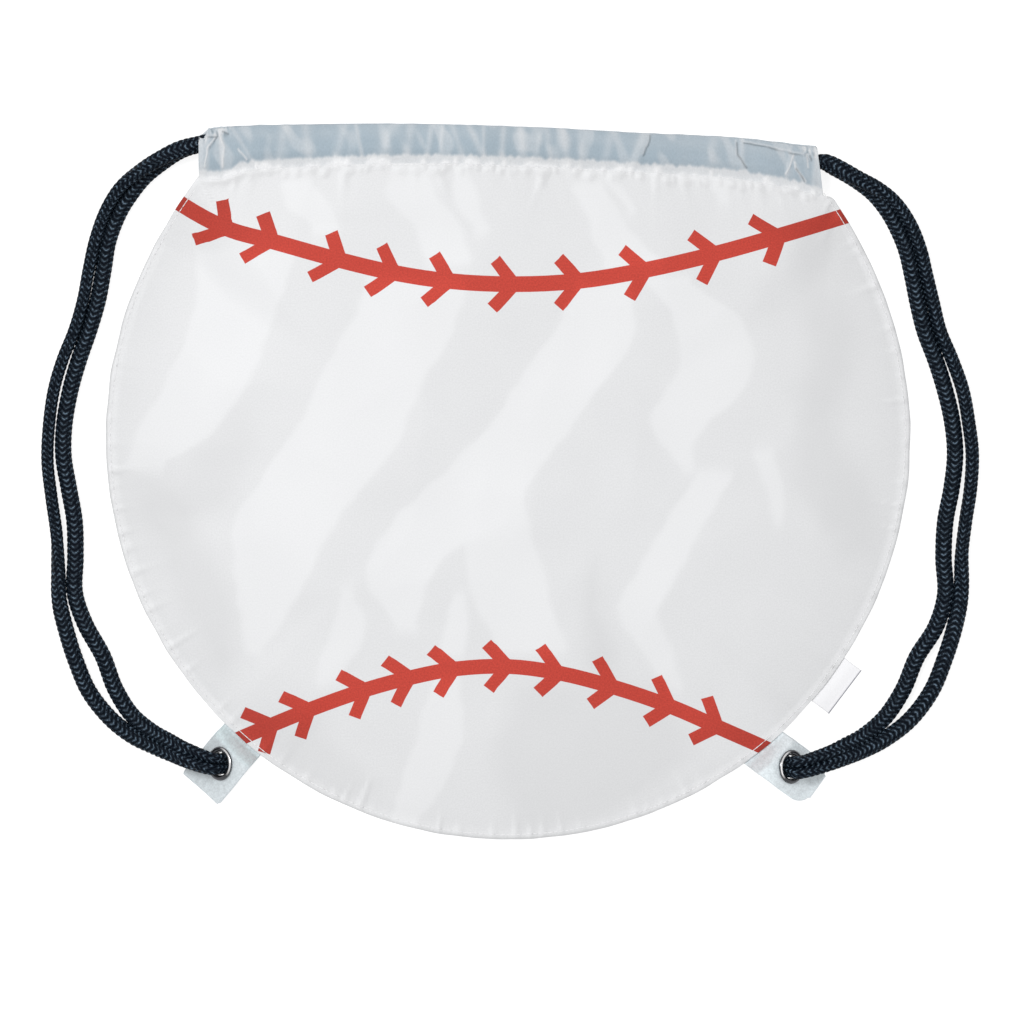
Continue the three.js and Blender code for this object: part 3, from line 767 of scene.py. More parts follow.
def front_height(x, y, puff, rim):
    """Top face of the front panel: a low dome with folds, gathers, puckers and crumple."""
    share, angle = panel_share(x, y)
    share = min(share, 1.0)
    edge = edge_height(angle, rim)
    inward = 1 - min(1.0, share / FLANGE_SHARE) ** 4
    soft = 1 - share ** 8
    height = edge + (puff - edge) * inward + (fold_height(x, y) + crumple_height(x, y)) * soft
    if RIGHT_CORNER < angle < LEFT_CORNER:
        height -= SEAM_TUCK * smoothstep(y - seam_at(clamp(x, CASING_LEFT, CASING_RIGHT)), 0, SEAM_OVERLAP)
    return height + gather_height(x, y) + pucker_height(share, angle)


def small_folds(x, y):
    """Gathers under the casing and puckers along the rim."""
    share, angle = panel_share(x, y)
    return gather_height(x, y) + pucker_height(min(share, 1.0), angle)


def disc_point(u, v):
    """A point of the panel for a point of the unit square, with even cells in the middle."""
    a = 2 * u - 1
    b = 2 * v - 1
    x = DISC_RADIUS * a * math.sqrt(1 - b * b / 2)
    y = DISC_RADIUS * b * math.sqrt(1 - a * a / 2)
    if y > 0:
        y *= mouth_ratio(x)
    wander = noise.noise(Vector((x / RIM_WANDER_SIZE, y / RIM_WANDER_SIZE, 6.0)))
    uneven = 1 + RIM_WANDER * wander * max(abs(a), abs(b)) ** 6
    return x * uneven, DISC_Y + y * uneven


def disc_map(u, v):
    """Place of a panel's point on its flat cloth, in metres."""
    x, y = disc_point(u, v)
    return x * MM, y * MM


def stripe_line(rows, ends):
    """Soft line of a stripe through its printed stitches, out past the rim at both ends."""
    points = list(ends[0]) + [row[0] for row in rows] + list(ends[1])
    return [tuple(point) for point in spline_points([Vector(point) for point in points], 4)]


def stripe_marks(rows, line):
    """Place of each printed stitch along its stripe, and how far it leans from square."""
    marks = []
    for apex, upper, lower in rows:
        _, place, _, run = line_distance(line, *apex)
        leans = []
        for tip in (upper, lower):
            off_x = tip[0] - apex[0]
            off_y = tip[1] - apex[1]
            leans.append((off_x * run[0] + off_y * run[1], off_y * run[0] - off_x * run[1]))
        lean = (leans[0][0] - leans[1][0]) / (leans[0][1] - leans[1][1])
        marks.append((place, lean))
    return marks


STRIPES = []
for stripe_rows, stripe_ends, print_size in (
    (TOP_STRIPE, TOP_STRIPE_ENDS, TOP_PRINT_SIZE),
    (BOTTOM_STRIPE, BOTTOM_STRIPE_ENDS, BOTTOM_PRINT_SIZE),
):
    stripe_points = stripe_line(stripe_rows, stripe_ends)
    STRIPES.append((stripe_points, stripe_marks(stripe_rows, stripe_points), print_size))


def print_place(x, y, z):
    """Count of printed stitches along the nearer stripe, and the distance from its middle."""
    x = EYE[0] + (x - EYE[0]) * EYE[2] / (EYE[2] - z)
    y = EYE[1] + (y - EYE[1]) * EYE[2] / (EYE[2] - z)
    line, marks, size = STRIPES[0] if y > 0 else STRIPES[1]
    away, place, side, _ = line_distance(line, x, y)
    offset = math.copysign(away, side)
    lean = along_table(marks, place)
    place -= lean * offset
    rows = []
    for number, (mark, _) in enumerate(marks):
        rows.append((mark + STITCH_WINDOW[0], number + STITCH_WINDOW[0] / STITCH_SCALE))
        rows.append((mark + STITCH_WINDOW[1], number + STITCH_WINDOW[1] / STITCH_SCALE))
    return along_table(rows, place), away / size * MM


def lay_grid(columns, rows, place, maps):
    """A grid of cloth or braid: place(u, v) lays each point in millimetres, maps give its UVs."""
    mesh = bmesh.new()
    bmesh.ops.create_grid(mesh, x_segments=columns, y_segments=rows, size=0.5)
    shares = {vert: (vert.co.x + 0.5, vert.co.y + 0.5) for vert in mesh.verts}
    for name, coordinates in maps:
        layer = mesh.loops.layers.uv.new(name)
        values = {vert: coordinates(*share) for vert, share in shares.items()}
        for face in mesh.faces:
            for loop in face.loops:
                loop[layer].uv = values[loop.vert]
    for vert, share in shares.items():
        vert.co = Vector(place(*share)) * MM
    return mesh


def close_tube(mesh):
    """Joins the long seam of a rolled-up grid and closes its two ends."""
    bmesh.ops.remove_doubles(mesh, verts=mesh.verts, dist=0.00001)
    open_edges = [edge for edge in mesh.edges if edge.is_boundary]
    bmesh.ops.holes_fill(mesh, edges=open_edges, sides=0)
    bmesh.ops.recalc_face_normals(mesh, faces=mesh.faces)


def add_piece(mesh, name, material, nodes=(), wall=None):
    """Makes the finished object, gives it its wall and ties it to the bag."""
    data = bpy.data.meshes.new(name)
    mesh.to_mesh(data)
    mesh.free()
    for face in data.polygons:
        face.use_smooth = True
    data.materials.append(material)
    piece = bpy.data.objects.new(name, data)
    bpy.context.scene.collection.objects.link(piece)
    if wall:
        solid = piece.modifiers.new("wall", "SOLIDIFY")
        solid.thickness = wall
        solid.offset = -1
    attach(piece, "root")
    if nodes:
        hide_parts(*nodes)
    return piece


class NodeBench:
    """Small helper that adds and links nodes in one tree."""

    def __init__(self, tree):
        self.tree = tree

    def add(self, kind, **settings):
        """A new node with these settings."""
        node = self.tree.nodes.new(kind)
        for name, value in settings.items():
            setattr(node, name, value)
        return node

    def put(self, value, socket):
        """Links a socket to another one, or sets it where the value is a constant."""
        if isinstance(value, bpy.types.NodeSocket):
            self.tree.links.new(value, socket)
        else:
            socket.default_value = value

    def math(self, operation, first, second=0.0, third=0.0):
        node = self.add("ShaderNodeMath", operation=operation)
        for socket, value in zip(node.inputs, (first, second, third)):
            self.put(value, socket)
        return node.outputs[0]

    def mix(self, factor, first, second):
        node = self.add("ShaderNodeMix", data_type="RGBA")
        self.put(factor, node.inputs["Factor"])
        self.put(first, node.inputs["A"])
        self.put(second, node.inputs["B"])
        return node.outputs["Result"]

    def noise(self, vector, scale, detail=2.0):
        node = self.add("ShaderNodeTexNoise")
        self.put(vector, node.inputs["Vector"])
        node.inputs["Scale"].default_value = scale
        node.inputs["Detail"].default_value = detail
        return node.outputs["Fac"]

    def ramp(self, value, low, high, start=0.0, end=1.0):
        """The value from low to high, mapped to start to end."""
        node = self.add("ShaderNodeMapRange")
        for socket, number in zip(node.inputs, (value, low, high, start, end)):
            self.put(number, socket)
        return node.outputs["Result"]

    def swing(self, value):
        """The middle of a noise's range, spread to -1 to 1."""
        return self.ramp(value, 0.3, 0.7, -1.0, 1.0)

    def uv(self, name):
        return self.add("ShaderNodeUVMap", uv_map=name).outputs["UV"]

    def split(self, vector):
        node = self.add("ShaderNodeSeparateXYZ")
        self.put(vector, node.inputs[0])
        return node.outputs

    def bump(self, height, strength, distance):
        node = self.add("ShaderNodeBump")
        node.inputs["Strength"].default_value = strength
        node.inputs["Distance"].default_value = distance
        self.put(height, node.inputs["Height"])
        return node.outputs["Normal"]


def new_group(name, inputs, outputs):
    """An empty shader group with its named sockets."""
    tree = bpy.data.node_groups.new(name, "ShaderNodeTree")
    for socket, kind, default in inputs:
        made = tree.interface.new_socket(name=socket, in_out="INPUT", socket_type=kind)
        if default is not None:
            made.default_value = default
    for socket, kind in outputs:
        tree.interface.new_socket(name=socket, in_out="OUTPUT", socket_type=kind)
    bench = NodeBench(tree)
    return bench, bench.add("NodeGroupInput").outputs, bench.add("NodeGroupOutput").inputs


def weave_group():
    """Plain weave: crossing threads with slight slubs, a broad random tone and a fine grain."""
    found = bpy.data.node_groups.get("plain_weave")
    if found:
        return found
    bench, given, out = new_group(
        "plain_weave",
        (("Vector", "NodeSocketVector", None), ("Thread", "NodeSocketFloat", PANEL_THREAD)),
        (("Height", "NodeSocketFloat"), ("Tone", "NodeSocketFloat"), ("Grain", "NodeSocketFloat")),
    )
    place = bench.split(given["Vector"])
    turns = bench.math("DIVIDE", math.pi, given["Thread"])
    warp = bench.math("SINE", bench.math("MULTIPLY", place[0], turns))
    weft = bench.math("SINE", bench.math("MULTIPLY", place[1], turns))
    over = bench.math("MULTIPLY", warp, weft)
    round_warp = bench.math("ABSOLUTE", warp)
    round_weft = bench.math("ABSOLUTE", weft)
    choice = bench.math("GREATER_THAN", over, 0.0)
    threads = bench.add("ShaderNodeMix", data_type="FLOAT")
    bench.put(choice, threads.inputs["Factor"])
    bench.put(round_warp, threads.inputs["A"])
    bench.put(round_weft, threads.inputs["B"])
    slub = bench.noise(given["Vector"], 900.0, 1.0)
    bench.put(bench.math("MULTIPLY_ADD", slub, 0.35, threads.outputs["Result"]), out["Height"])
    broad = bench.noise(given["Vector"], 26.0, 3.0)
    bench.put(bench.swing(broad), out["Tone"])
    grain = bench.noise(given["Vector"], 1100.0, 1.0)
    bench.put(bench.swing(grain), out["Grain"])
    return bench.tree


def new_material(name):
    """A material with an empty Principled surface, ready for its nodes."""
    material = bpy.data.materials.new(name)
    material.use_nodes = True
    bench = NodeBench(material.node_tree)
    surface = material.node_tree.nodes["Principled BSDF"]
    return material, bench, surface.inputs


def with_weave(bench, vector, thread):
    """Height, tone and grain of the plain weave at a place on the cloth."""
    node = bench.add("ShaderNodeGroup", node_tree=weave_group())
    bench.put(vector, node.inputs["Vector"])
    node.inputs["Thread"].default_value = thread
    return node.outputs["Height"], node.outputs["Tone"], node.outputs["Grain"]


def shaded(bench, colour, tone, amount):
    """The colour, a little lighter and darker with a tone of -1 to 1."""
    node = bench.add("ShaderNodeHueSaturation")
    bench.put(bench.math("MULTIPLY_ADD", tone, amount, 1.0), node.inputs["Value"])
    bench.put(colour, node.inputs["Color"])
    return node.outputs["Color"]


def cloth_surface(surface, sheen):
    """The dull shine of cloth, with some sheen."""
    surface["Specular IOR Level"].default_value = 0.2
    surface["Sheen Weight"].default_value = sheen
    surface["Sheen Roughness"].default_value = 0.45


def printed_mask(bench, sizes):
    """1 on the printed stripes and their printed stitches."""
    place = bench.split(bench.uv("print"))
    away = bench.math("MULTIPLY", place[1], 1 / MM)
    edge = sizes.stripe / MM / 2
    stripe = bench.ramp(away, edge + INK_EDGE, edge - INK_EDGE)
    shift = -STITCH_WINDOW[0] / STITCH_SCALE + 0.02
    turn = bench.math("FRACT", bench.math("ADD", place[0], shift))
    back = bench.math("MULTIPLY", bench.math("SUBTRACT", shift, turn), STITCH_SCALE)
    along = bench.math("MULTIPLY_ADD", back, math.cos(ARM_ANGLE),
                       bench.math("MULTIPLY", away, math.sin(ARM_ANGLE)))
    across = bench.math("MULTIPLY_ADD", back, math.sin(ARM_ANGLE),
                        bench.math("MULTIPLY", away, -math.cos(ARM_ANGLE)))
    half = sizes.arm / MM / 2
    bar = bench.ramp(bench.math("ABSOLUTE", across), half + INK_EDGE, half - INK_EDGE)
    end = bench.ramp(along, ARM_LENGTH + INK_EDGE, ARM_LENGTH - INK_EDGE)
    start = bench.ramp(along, -0.2, 0.2)
    inside = bench.math("MULTIPLY", bench.math("MULTIPLY", bar, end), start)
    first = bench.math("GREATER_THAN", place[0], STITCH_WINDOW[0] / STITCH_SCALE + 0.001)
    last_count = len(TOP_STRIPE) - 1 + STITCH_WINDOW[1] / STITCH_SCALE
    last = bench.math("LESS_THAN", place[0], last_count - 0.001)
    inside = bench.math("MULTIPLY", inside, bench.math("MULTIPLY", first, last))
    return bench.math("MAXIMUM", stripe, inside)


def panel_cloth(name, colour, sizes=None, print_colour=None):
    """White woven polyester, with the printed stripes where a print colour is given."""
    material, bench, surface = new_material(name)
    height, tone, grain = with_weave(bench, bench.uv("cloth"), PANEL_THREAD)
    base = shaded(bench, (*colour, 1.0), bench.math("ADD", tone, grain), 0.012)
    rough = bench.math("MULTIPLY_ADD", tone, 0.03, 0.42)
    if print_colour:
        # Lit and turned copies of the cloth colour paint highlight and shade where the sheen map says
        lit = tuple(1.06 * channel for channel in colour)
        turned = tuple(0.91 * channel for channel in colour)
        sheen, rim_shade, _ = bench.split(bench.uv("sheen"))
        base = bench.mix(bench.ramp(sheen, 0.5, 0.0), base, (*turned, 1.0))
        base = bench.mix(bench.ramp(sheen, 0.5, 1.0), base, (*lit, 1.0))
        base = shaded(bench, base, grain, 0.022)
        # The ink takes the same painted highlight and shade, and painted shade towards the rim
        ink = shaded(bench, (*print_colour, 1.0), bench.math("MULTIPLY_ADD", sheen, 2.0, -1.0), 0.085)
        ink = shaded(bench, ink, grain, 0.12)
        ink = shaded(bench, ink, rim_shade, -0.32)
        printed = printed_mask(bench, sizes)
        base = bench.mix(printed, base, ink)
        rough = bench.math("MULTIPLY_ADD", printed, 0.25, rough)
    bench.put(base, surface["Base Color"])
    bench.put(rough, surface["Roughness"])
    bench.put(bench.bump(height, 0.12, 0.00012), surface["Normal"])
    cloth_surface(surface, 0.05)
    return material


def casing_cloth(name, white, tinted):
    """The same cloth over the dark cords, which show through where it lies close to them, with painted
    shade and highlight.
    """
    material, bench, surface = new_material(name)
    vector = bench.uv("cloth")
    height, tone, grain = with_weave(bench, vector, PANEL_THREAD)
    close, mark, _ = bench.split(bench.uv("tint"))
    mottle = bench.math("MULTIPLY_ADD", bench.noise(vector, 160.0, 3.0), 0.2, -0.1)
    share = bench.math("ADD", close, bench.math("MULTIPLY", mottle, close))
    share.node.use_clamp = True
    base = bench.mix(share, (*white, 1.0), (*tinted, 1.0))
    # Below 0.5 the tint map's second value paints shade, above it a painted highlight
    shadow = tuple(0.3 * channel for channel in tinted)
    painted_highlight = tuple(1.1 * channel for channel in white)
    base = bench.mix(bench.ramp(mark, 0.5, 0.0), base, (*shadow, 1.0))
    base = bench.mix(bench.ramp(mark, 0.5, 1.0), base, (*painted_highlight, 1.0))
    bench.put(shaded(bench, base, bench.math("ADD", tone, grain), 0.042), surface["Base Color"])
    bench.put(bench.math("MULTIPLY_ADD", tone, 0.04, 0.55), surface["Roughness"])
    bench.put(bench.bump(height, 0.22, 0.00012), surface["Normal"])
    cloth_surface(surface, 0.12)
    return material


def tab_cloth(name, colour, painted_wall_tone):
    """Folded cloth of the tabs, a little greyer and stiffer than the panels, with painted light and shade
    on its steep wall.
    """
    material, bench, surface = new_material(name)
    vector = bench.uv("cloth")
    height, tone, grain = with_weave(bench, vector, TAB_THREAD)
    cloud = bench.ramp(bench.noise(vector, 420.0, 4.0), 0.35, 0.65, -1.0, 1.0)
    mottle = bench.math("ADD", cloud, bench.math("ADD", tone, grain))
    wall = tuple(channel * share for channel, share in zip(colour, painted_wall_tone))
    base = bench.mix(bench.split(bench.uv("wall"))[0], (*colour, 1.0), (*wall, 1.0))
    bench.put(shaded(bench, base, mottle, 0.075), surface["Base Color"])
    bench.put(bench.math("MULTIPLY_ADD", tone, 0.05, 0.62), surface["Roughness"])
    bench.put(bench.bump(height, 0.3, 0.00015), surface["Normal"])
    cloth_surface(surface, 0.1)
    return material


def label_tape(name, colour, fold):
    """Smooth woven tape with fine ribs across it and a grey line of painted shade along its fold."""
    material, bench, surface = new_material(name)
    vector = bench.uv("cloth")
    height, tone, _ = with_weave(bench, vector, LABEL_THREAD)
    away = bench.math("ABSOLUTE", bench.math("SUBTRACT", bench.split(vector)[0], fold))
    line = bench.ramp(away, 0.0011, 0.0006, 0.0, 0.75)
    fold_shade = (0.16, 0.16, 0.22, 1.0)
    base = bench.mix(line, (*colour, 1.0), fold_shade)
    bench.put(shaded(bench, base, tone, 0.02), surface["Base Color"])
    bench.put(bench.math("MULTIPLY_ADD", tone, 0.04, 0.42), surface["Roughness"])
    bench.put(bench.bump(height, 0.2, 0.0001), surface["Normal"])
    cloth_surface(surface, 0.2)
    return material


def braid_group():
    """Chevron braid: how near each point is to the middle of its slanting strand, and of its plies."""
    found = bpy.data.node_groups.get("chevron_braid")
    if found:
        return found
    bench, given, out = new_group(
        "chevron_braid",
        (("Vector", "NodeSocketVector", None), ("Pitch", "NodeSocketFloat", 0.0031)),
        (("Crest", "NodeSocketFloat"), ("Ply", "NodeSocketFloat")),
    )
    place = bench.split(given["Vector"])
    column = bench.math("MULTIPLY", place[0], BRAID_COLUMNS)
    across = bench.math("SUBTRACT", bench.math("FRACT", column), 0.5)
    turned = bench.math("PINGPONG", bench.math("SUBTRACT", column, 0.5), 1.0)
    lean = bench.math("MULTIPLY", bench.math("SUBTRACT", turned, 0.5), BRAID_LEAN)
    phase = bench.math("ADD", bench.math("DIVIDE", place[1], given["Pitch"]), lean)
    strand = bench.math("MULTIPLY_ADD", bench.math("FRACT", phase), 2.0, -1.0)
    edge = bench.math("POWER", bench.math("ABSOLUTE", bench.math("MULTIPLY", across, 2.0)), 3.0)
    tuck = bench.math("MULTIPLY_ADD", edge, -0.45, 1.0)
    ridge = bench.math("SUBTRACT", 1.0, bench.math("ABSOLUTE", strand))
    bench.put(bench.math("MULTIPLY", ridge, tuck), out["Crest"])
    ply = bench.math("MULTIPLY_ADD", bench.math("FRACT", bench.math("MULTIPLY", phase, 2.0)), 2.0, -1.0)
    bench.put(bench.math("SUBTRACT", 1.0, bench.math("ABSOLUTE", ply)), out["Ply"])
    return bench.tree


def braid_yarn(name, colour, pitch):
    """Dark braided yarn: slanting strands with a broken line of painted highlight along each crest."""
    material, bench, surface = new_material(name)
    vector = bench.uv("braid")
    braid = bench.add("ShaderNodeGroup", node_tree=braid_group())
    bench.put(vector, braid.inputs["Vector"])
    braid.inputs["Pitch"].default_value = pitch
    place = bench.split(vector)
    stretched = bench.add("ShaderNodeCombineXYZ")
    bench.put(bench.math("MULTIPLY", place[0], 30.0), stretched.inputs[0])
    bench.put(bench.math("MULTIPLY", place[1], 1300.0), stretched.inputs[1])
    filament = bench.noise(stretched.outputs[0], 0.9, 2.0)
    broad = bench.noise(stretched.outputs[0], 0.28, 1.0)
    crest = bench.ramp(braid.outputs["Crest"], 0.62, 0.9)
    ply = bench.ramp(braid.outputs["Ply"], 0.45, 0.9, 0.0, 0.16)
    line = bench.math("MAXIMUM", crest, ply)
    light = bench.math("MULTIPLY", line, bench.ramp(filament, 0.34, 0.66, 0.15, 1.25))
    light = bench.math("MULTIPLY", light, bench.ramp(broad, 0.36, 0.62, 0.3, 1.35))
    dark = tuple(channel * 0.22 for channel in colour)
    # The pale crest colour is a painted highlight
    pale = (0.12, 0.172, 0.228)
    bench.put(bench.mix(light, (*dark, 1.0), (*pale, 1.0)), surface["Base Color"])
    bench.put(bench.ramp(filament, 0.2, 0.8, 0.42, 0.62), surface["Roughness"])
    bench.put(bench.bump(braid.outputs["Crest"], 0.5, 0.0005), surface["Normal"])
    surface["Specular IOR Level"].default_value = 0.05
    return material


def gunmetal(name, colour):
    """Dark plated brass, with a painted highlight on the rolled lip on the side away from the cord."""
    material, bench, surface = new_material(name)
    place = bench.add("ShaderNodeTexCoord").outputs["Object"]
    scuff = bench.noise(place, 2400.0, 2.0)
    radius, side, _ = bench.split(bench.uv("ring"))
    lip = bench.ramp(radius, (EYELET_HOLE + 2.2) * MM, (EYELET_HOLE + 1.9) * MM)
    painted_glint = bench.math("MULTIPLY", lip, bench.ramp(side, 0.4, 0.75))
    painted_highlight = (0.95, 0.94, 0.94, 1.0)
    bench.put(bench.mix(painted_glint, (*colour, 1.0), painted_highlight), surface["Base Color"])
    bench.put(bench.ramp(scuff, 0.2, 0.8, 0.16, 0.28), surface["Roughness"])
    bench.put(bench.bump(scuff, 0.05, 0.0001), surface["Normal"])
    surface["Metallic"].default_value = 1.0
    return material


def sewing_thread(name, colour):
    """Twisted sewing thread."""
    material, bench, surface = new_material(name)
    place = bench.add("ShaderNodeTexCoord").outputs["Object"]
    twist = bench.noise(place, 2600.0, 2.0)
    bench.put(shaded(bench, (*colour, 1.0), bench.swing(twist), 0.06), surface["Base Color"])
    bench.put(bench.ramp(twist, 0.2, 0.8, 0.45, 0.65), surface["Roughness"])
    bench.put(bench.bump(twist, 0.2, 0.0001), surface["Normal"])
    cloth_surface(surface, 0.2)
    return material


def floor_paper(name, colour):
    """Plain pale studio paper."""
    material, bench, surface = new_material(name)
    place = bench.add("ShaderNodeTexCoord").outputs["Object"]
    grain = bench.noise(place, 14.0, 3.0)
    bench.put(shaded(bench, (*colour, 1.0), bench.swing(grain), 0.004), surface["Base Color"])
    surface["Roughness"].default_value = 0.9
    surface["Specular IOR Level"].default_value = 0.1
    surface["Emission Color"].default_value = (1, 1, 1, 1)
    surface["Emission Strength"].default_value = 0.85
    return material


def even_points(curve, step):
    """The same curve in steps of equal length, with that length."""
    travelled = [0.0]
    for first, second in zip(curve, curve[1:]):
        travelled.append(travelled[-1] + (second - first).length)
    count = max(2, round(travelled[-1] / step))
    even = []
    place = 0
    for number in range(count + 1):
        target = travelled[-1] * number / count
        while place < len(curve) - 2 and travelled[place + 1] < target:
            place += 1
        gap = max(1e-9, travelled[place + 1] - travelled[place])
        even.append(curve[place].lerp(curve[place + 1], clamp((target - travelled[place]) / gap)))
    return even, travelled[-1]


def carried_frames(points):
    """Side and up at each point, carried along without twisting."""
    frames = []
    side = Vector((0, 1, 0))
    for number in range(len(points)):
        ahead = points[min(number + 1, len(points) - 1)]
        behind = points[max(number - 1, 0)]
        tangent = (ahead - behind).normalized()
        side = (side - tangent * side.dot(tangent)).normalized()
        frames.append((side, tangent.cross(side)))
    return frames


def braid_relief(turn, along, pitch):
    """Height of the braid, 0 to 1: slanting strands in columns that meet as chevrons."""
    column = turn * BRAID_COLUMNS + 0.5
    across = column - math.floor(column)
    slant = 1 if math.floor(column) % 2 == 0 else -1
    phase = along / pitch + slant * (across - 0.5) * BRAID_LEAN
    strand = 2 * (phase - math.floor(phase)) - 1
    rounded = math.sqrt(max(0.0, 1 - strand * strand))
    return rounded * (1 - BRAID_TUCK * abs(2 * across - 1) ** 3)


def braided_tube(route, section, pitch, relief, step=0.62, sides=36, shift=0.0):
    """A braided cord along a route. section(share) gives half width, half height and roll."""
    points, length = even_points(spline_points(route), step)
    frames = carried_frames(points)
    last = len(points) - 1

    def place(u, v):
        row = min(last, round(v * last))
        half_width, half_height, roll = section(v)
        turn = 2 * math.pi * u
        flat = half_width * math.copysign(abs(math.cos(turn)) ** CORD_ROUNDING, math.cos(turn))
        tall = half_height * math.copysign(abs(math.sin(turn)) ** CORD_ROUNDING, math.sin(turn))
        proud = braid_relief((u + shift) % 1.0, v * length, pitch) - BRAID_MIDDLE
        swell = 1 + relief * proud / half_height
        side, up = frames[row]
        across = side * math.cos(roll) + up * math.sin(roll)
        rise = up * math.cos(roll) - side * math.sin(roll)
        return points[row] + (across * flat + rise * tall) * swell

    mesh = lay_grid(sides, last, place, (("braid", lambda u, v: (u + shift, v * length * MM)),))
    close_tube(mesh)
    return mesh, points, length


def eyelet_seat(tab):
    """Middle of an eyelet and the way it faces."""
    heading = math.radians(tab["heading"])
    centre = Vector((tab["x"] + tab["eyelet"] * math.cos(heading),
                     tab["y"] + tab["eyelet"] * math.sin(heading), EYELET_HEIGHT))
    return centre, Vector((tab["outward"] * math.sin(EYELET_TILT), 0, math.cos(EYELET_TILT)))


def strand_route(name, half_heights):
    """Centre line of a strand: out of the casing, along the floor, through the eyelet to its knot."""
    side, lane = name.split("_")
    rows = [Vector(row if len(row) == 3 else (*row, STRAND_REST)) for row in STRANDS[name]]
    inward = 1 if side == "left" else -1
    first = rows[0]
    rise = STEEP_START if name == "left_outer" else FLAT_START
    route = [first + Vector((inward * STRAND_INSIDE[0], rise, 0)),
             first + Vector((inward * STRAND_INSIDE[1], rise / 2, 0))]
    for number, row in enumerate(rows):
        share = number / (len(rows) + 1)
        rest = half_heights(share) + BRAID_CLEAR - STRAND_REST
        on_floor = 1 - smoothstep(row.z, STRAND_REST, STRAND_LIFTED)
        closer = CLOSE_UP * smoothstep(share, *CLOSE_UP_RUN) * (1 if lane == "outer" else -1)
        route.append(row + Vector((0, closer, rest * on_floor)))
    centre, facing = eyelet_seat(TABS[side])
    lateral = -1 if lane == "outer" else 1
    for ahead, apart in EYELET_WAY:
        route.append(centre + facing * ahead + Vector((0, lateral * apart, 0)))
    return route


def channel_route(side):
    """Run of a cord inside the casings: along the back one, over at the far end, back along the front."""
    start = CASING_LEFT if side == "left" else CASING_RIGHT
    far = CASING_RIGHT if side == "left" else CASING_LEFT
    lane = -1 if side == "left" else 1
    away = math.copysign(1, far - start)
    turn_x = far - away * TURN_INSET["left" if far < 0 else "right"]
    exit_y = STRANDS[side + "_outer"][0][1]

    def middle(x):
        return (casing_at(STITCH, x) + HEM + casing_at(TOP, x) - 1) / 2 - 1

    drift = exit_y - middle(start) - lane * CHANNEL_OFFSET

    def lane_y(x):
        return middle(x) + lane * CHANNEL_OFFSET + drift * (1 - smoothstep(abs(x - start), *DRIFT_RUN))

    run = [x for x in CHANNEL_STATIONS if (turn_x - x) * away > RUN_GAP]
    if away < 0:
        run.reverse()
    run = [start + away * RUN_START] + run + [turn_x]
    route = [Vector((x, lane_y(x), BACK_CASING_Z)) for x in run]
    upper = front_casing_z(turn_x)
    radius = (upper - BACK_CASING_Z) / 2
    for degrees in TURN_STEPS:
        turn = math.radians(degrees)
        x = turn_x + away * radius * math.sin(turn)
        route.append(Vector((x, lane_y(x), BACK_CASING_Z + radius - radius * math.cos(turn))))
    route.extend(Vector((x, lane_y(x), front_casing_z(x))) for x in reversed(run))
    return route


def knot_route(tab):
    """A tightened overhand knot that lies flat behind the eyelet."""
    centre, _ = eyelet_seat(tab)
    middle = Vector((centre.x - tab["outward"] * KNOT_BEHIND, centre.y, KNOT_HEIGHT))
    route = []
    for number in range(KNOT_STEPS + 1):
        turn = 2 * math.pi * number / KNOT_STEPS
        x = KNOT_RADIUS * (math.sin(turn) + 2 * math.sin(2 * turn)) / 3
        y = KNOT_RADIUS * (math.cos(turn) - 2 * math.cos(2 * turn)) / 3
        route.append(middle + Vector((tab["outward"] * x, y, -KNOT_WEAVE * math.sin(3 * turn))))
    return route


class BAG_OT_stage(Operator):
    """Sets the floor, the studio light and the camera above the bag"""

    bl_idname = "bag.stage"
    bl_label = "Stage"

    def execute(self, context):
        scene = context.scene
        settings = scene.bag_stage
        camera = bpy.data.cameras.new("camera")
        camera.lens = settings.lens
        camera.sensor_width = SENSOR_WIDTH
        camera.clip_end = 50
        eye = bpy.data.objects.new("camera", camera)
        height = settings.view_width * settings.lens / SENSOR_WIDTH
        eye.location = (EYE[0] * MM, EYE[1] * MM, height)
        scene.collection.objects.link(eye)
        scene.camera = eye

        mesh = bmesh.new()
        bmesh.ops.create_grid(mesh, x_segments=8, y_segments=8, size=6)
        bmesh.ops.translate(mesh, verts=mesh.verts, vec=(0, 0, -0.0004))
        data = bpy.data.meshes.new("floor")
        mesh.to_mesh(data)
        mesh.free()
        data.materials.append(floor_paper("floor_paper", settings.floor))
        floor = bpy.data.objects.new("floor", data)
        scene.collection.objects.link(floor)

        world = bpy.data.worlds.new("studio")
        world.use_nodes = True
        background = world.node_tree.nodes["Background"]
        background.inputs["Color"].default_value = (1, 1, 1, 1)
        background.inputs["Strength"].default_value = settings.surround
        scene.world = world
        for name, place, size, power in (
            ("key_light", (-0.95, 0.6, 2.75), 0.8, settings.key),
            ("fill_light", (1.8, -0.6, 1.8), 1.8, settings.fill),
        ):
            lamp = bpy.data.lights.new(name, "AREA")
            lamp.size = size
            lamp.energy = power
            holder = bpy.data.objects.new(name, lamp)
            holder.location = place
            holder.rotation_euler = Vector(place).to_track_quat("Z", "Y").to_euler()
            scene.collection.objects.link(holder)
        scene.view_settings.view_transform = "Standard"
        scene.view_settings.look = "None"
        return {"FINISHED"}


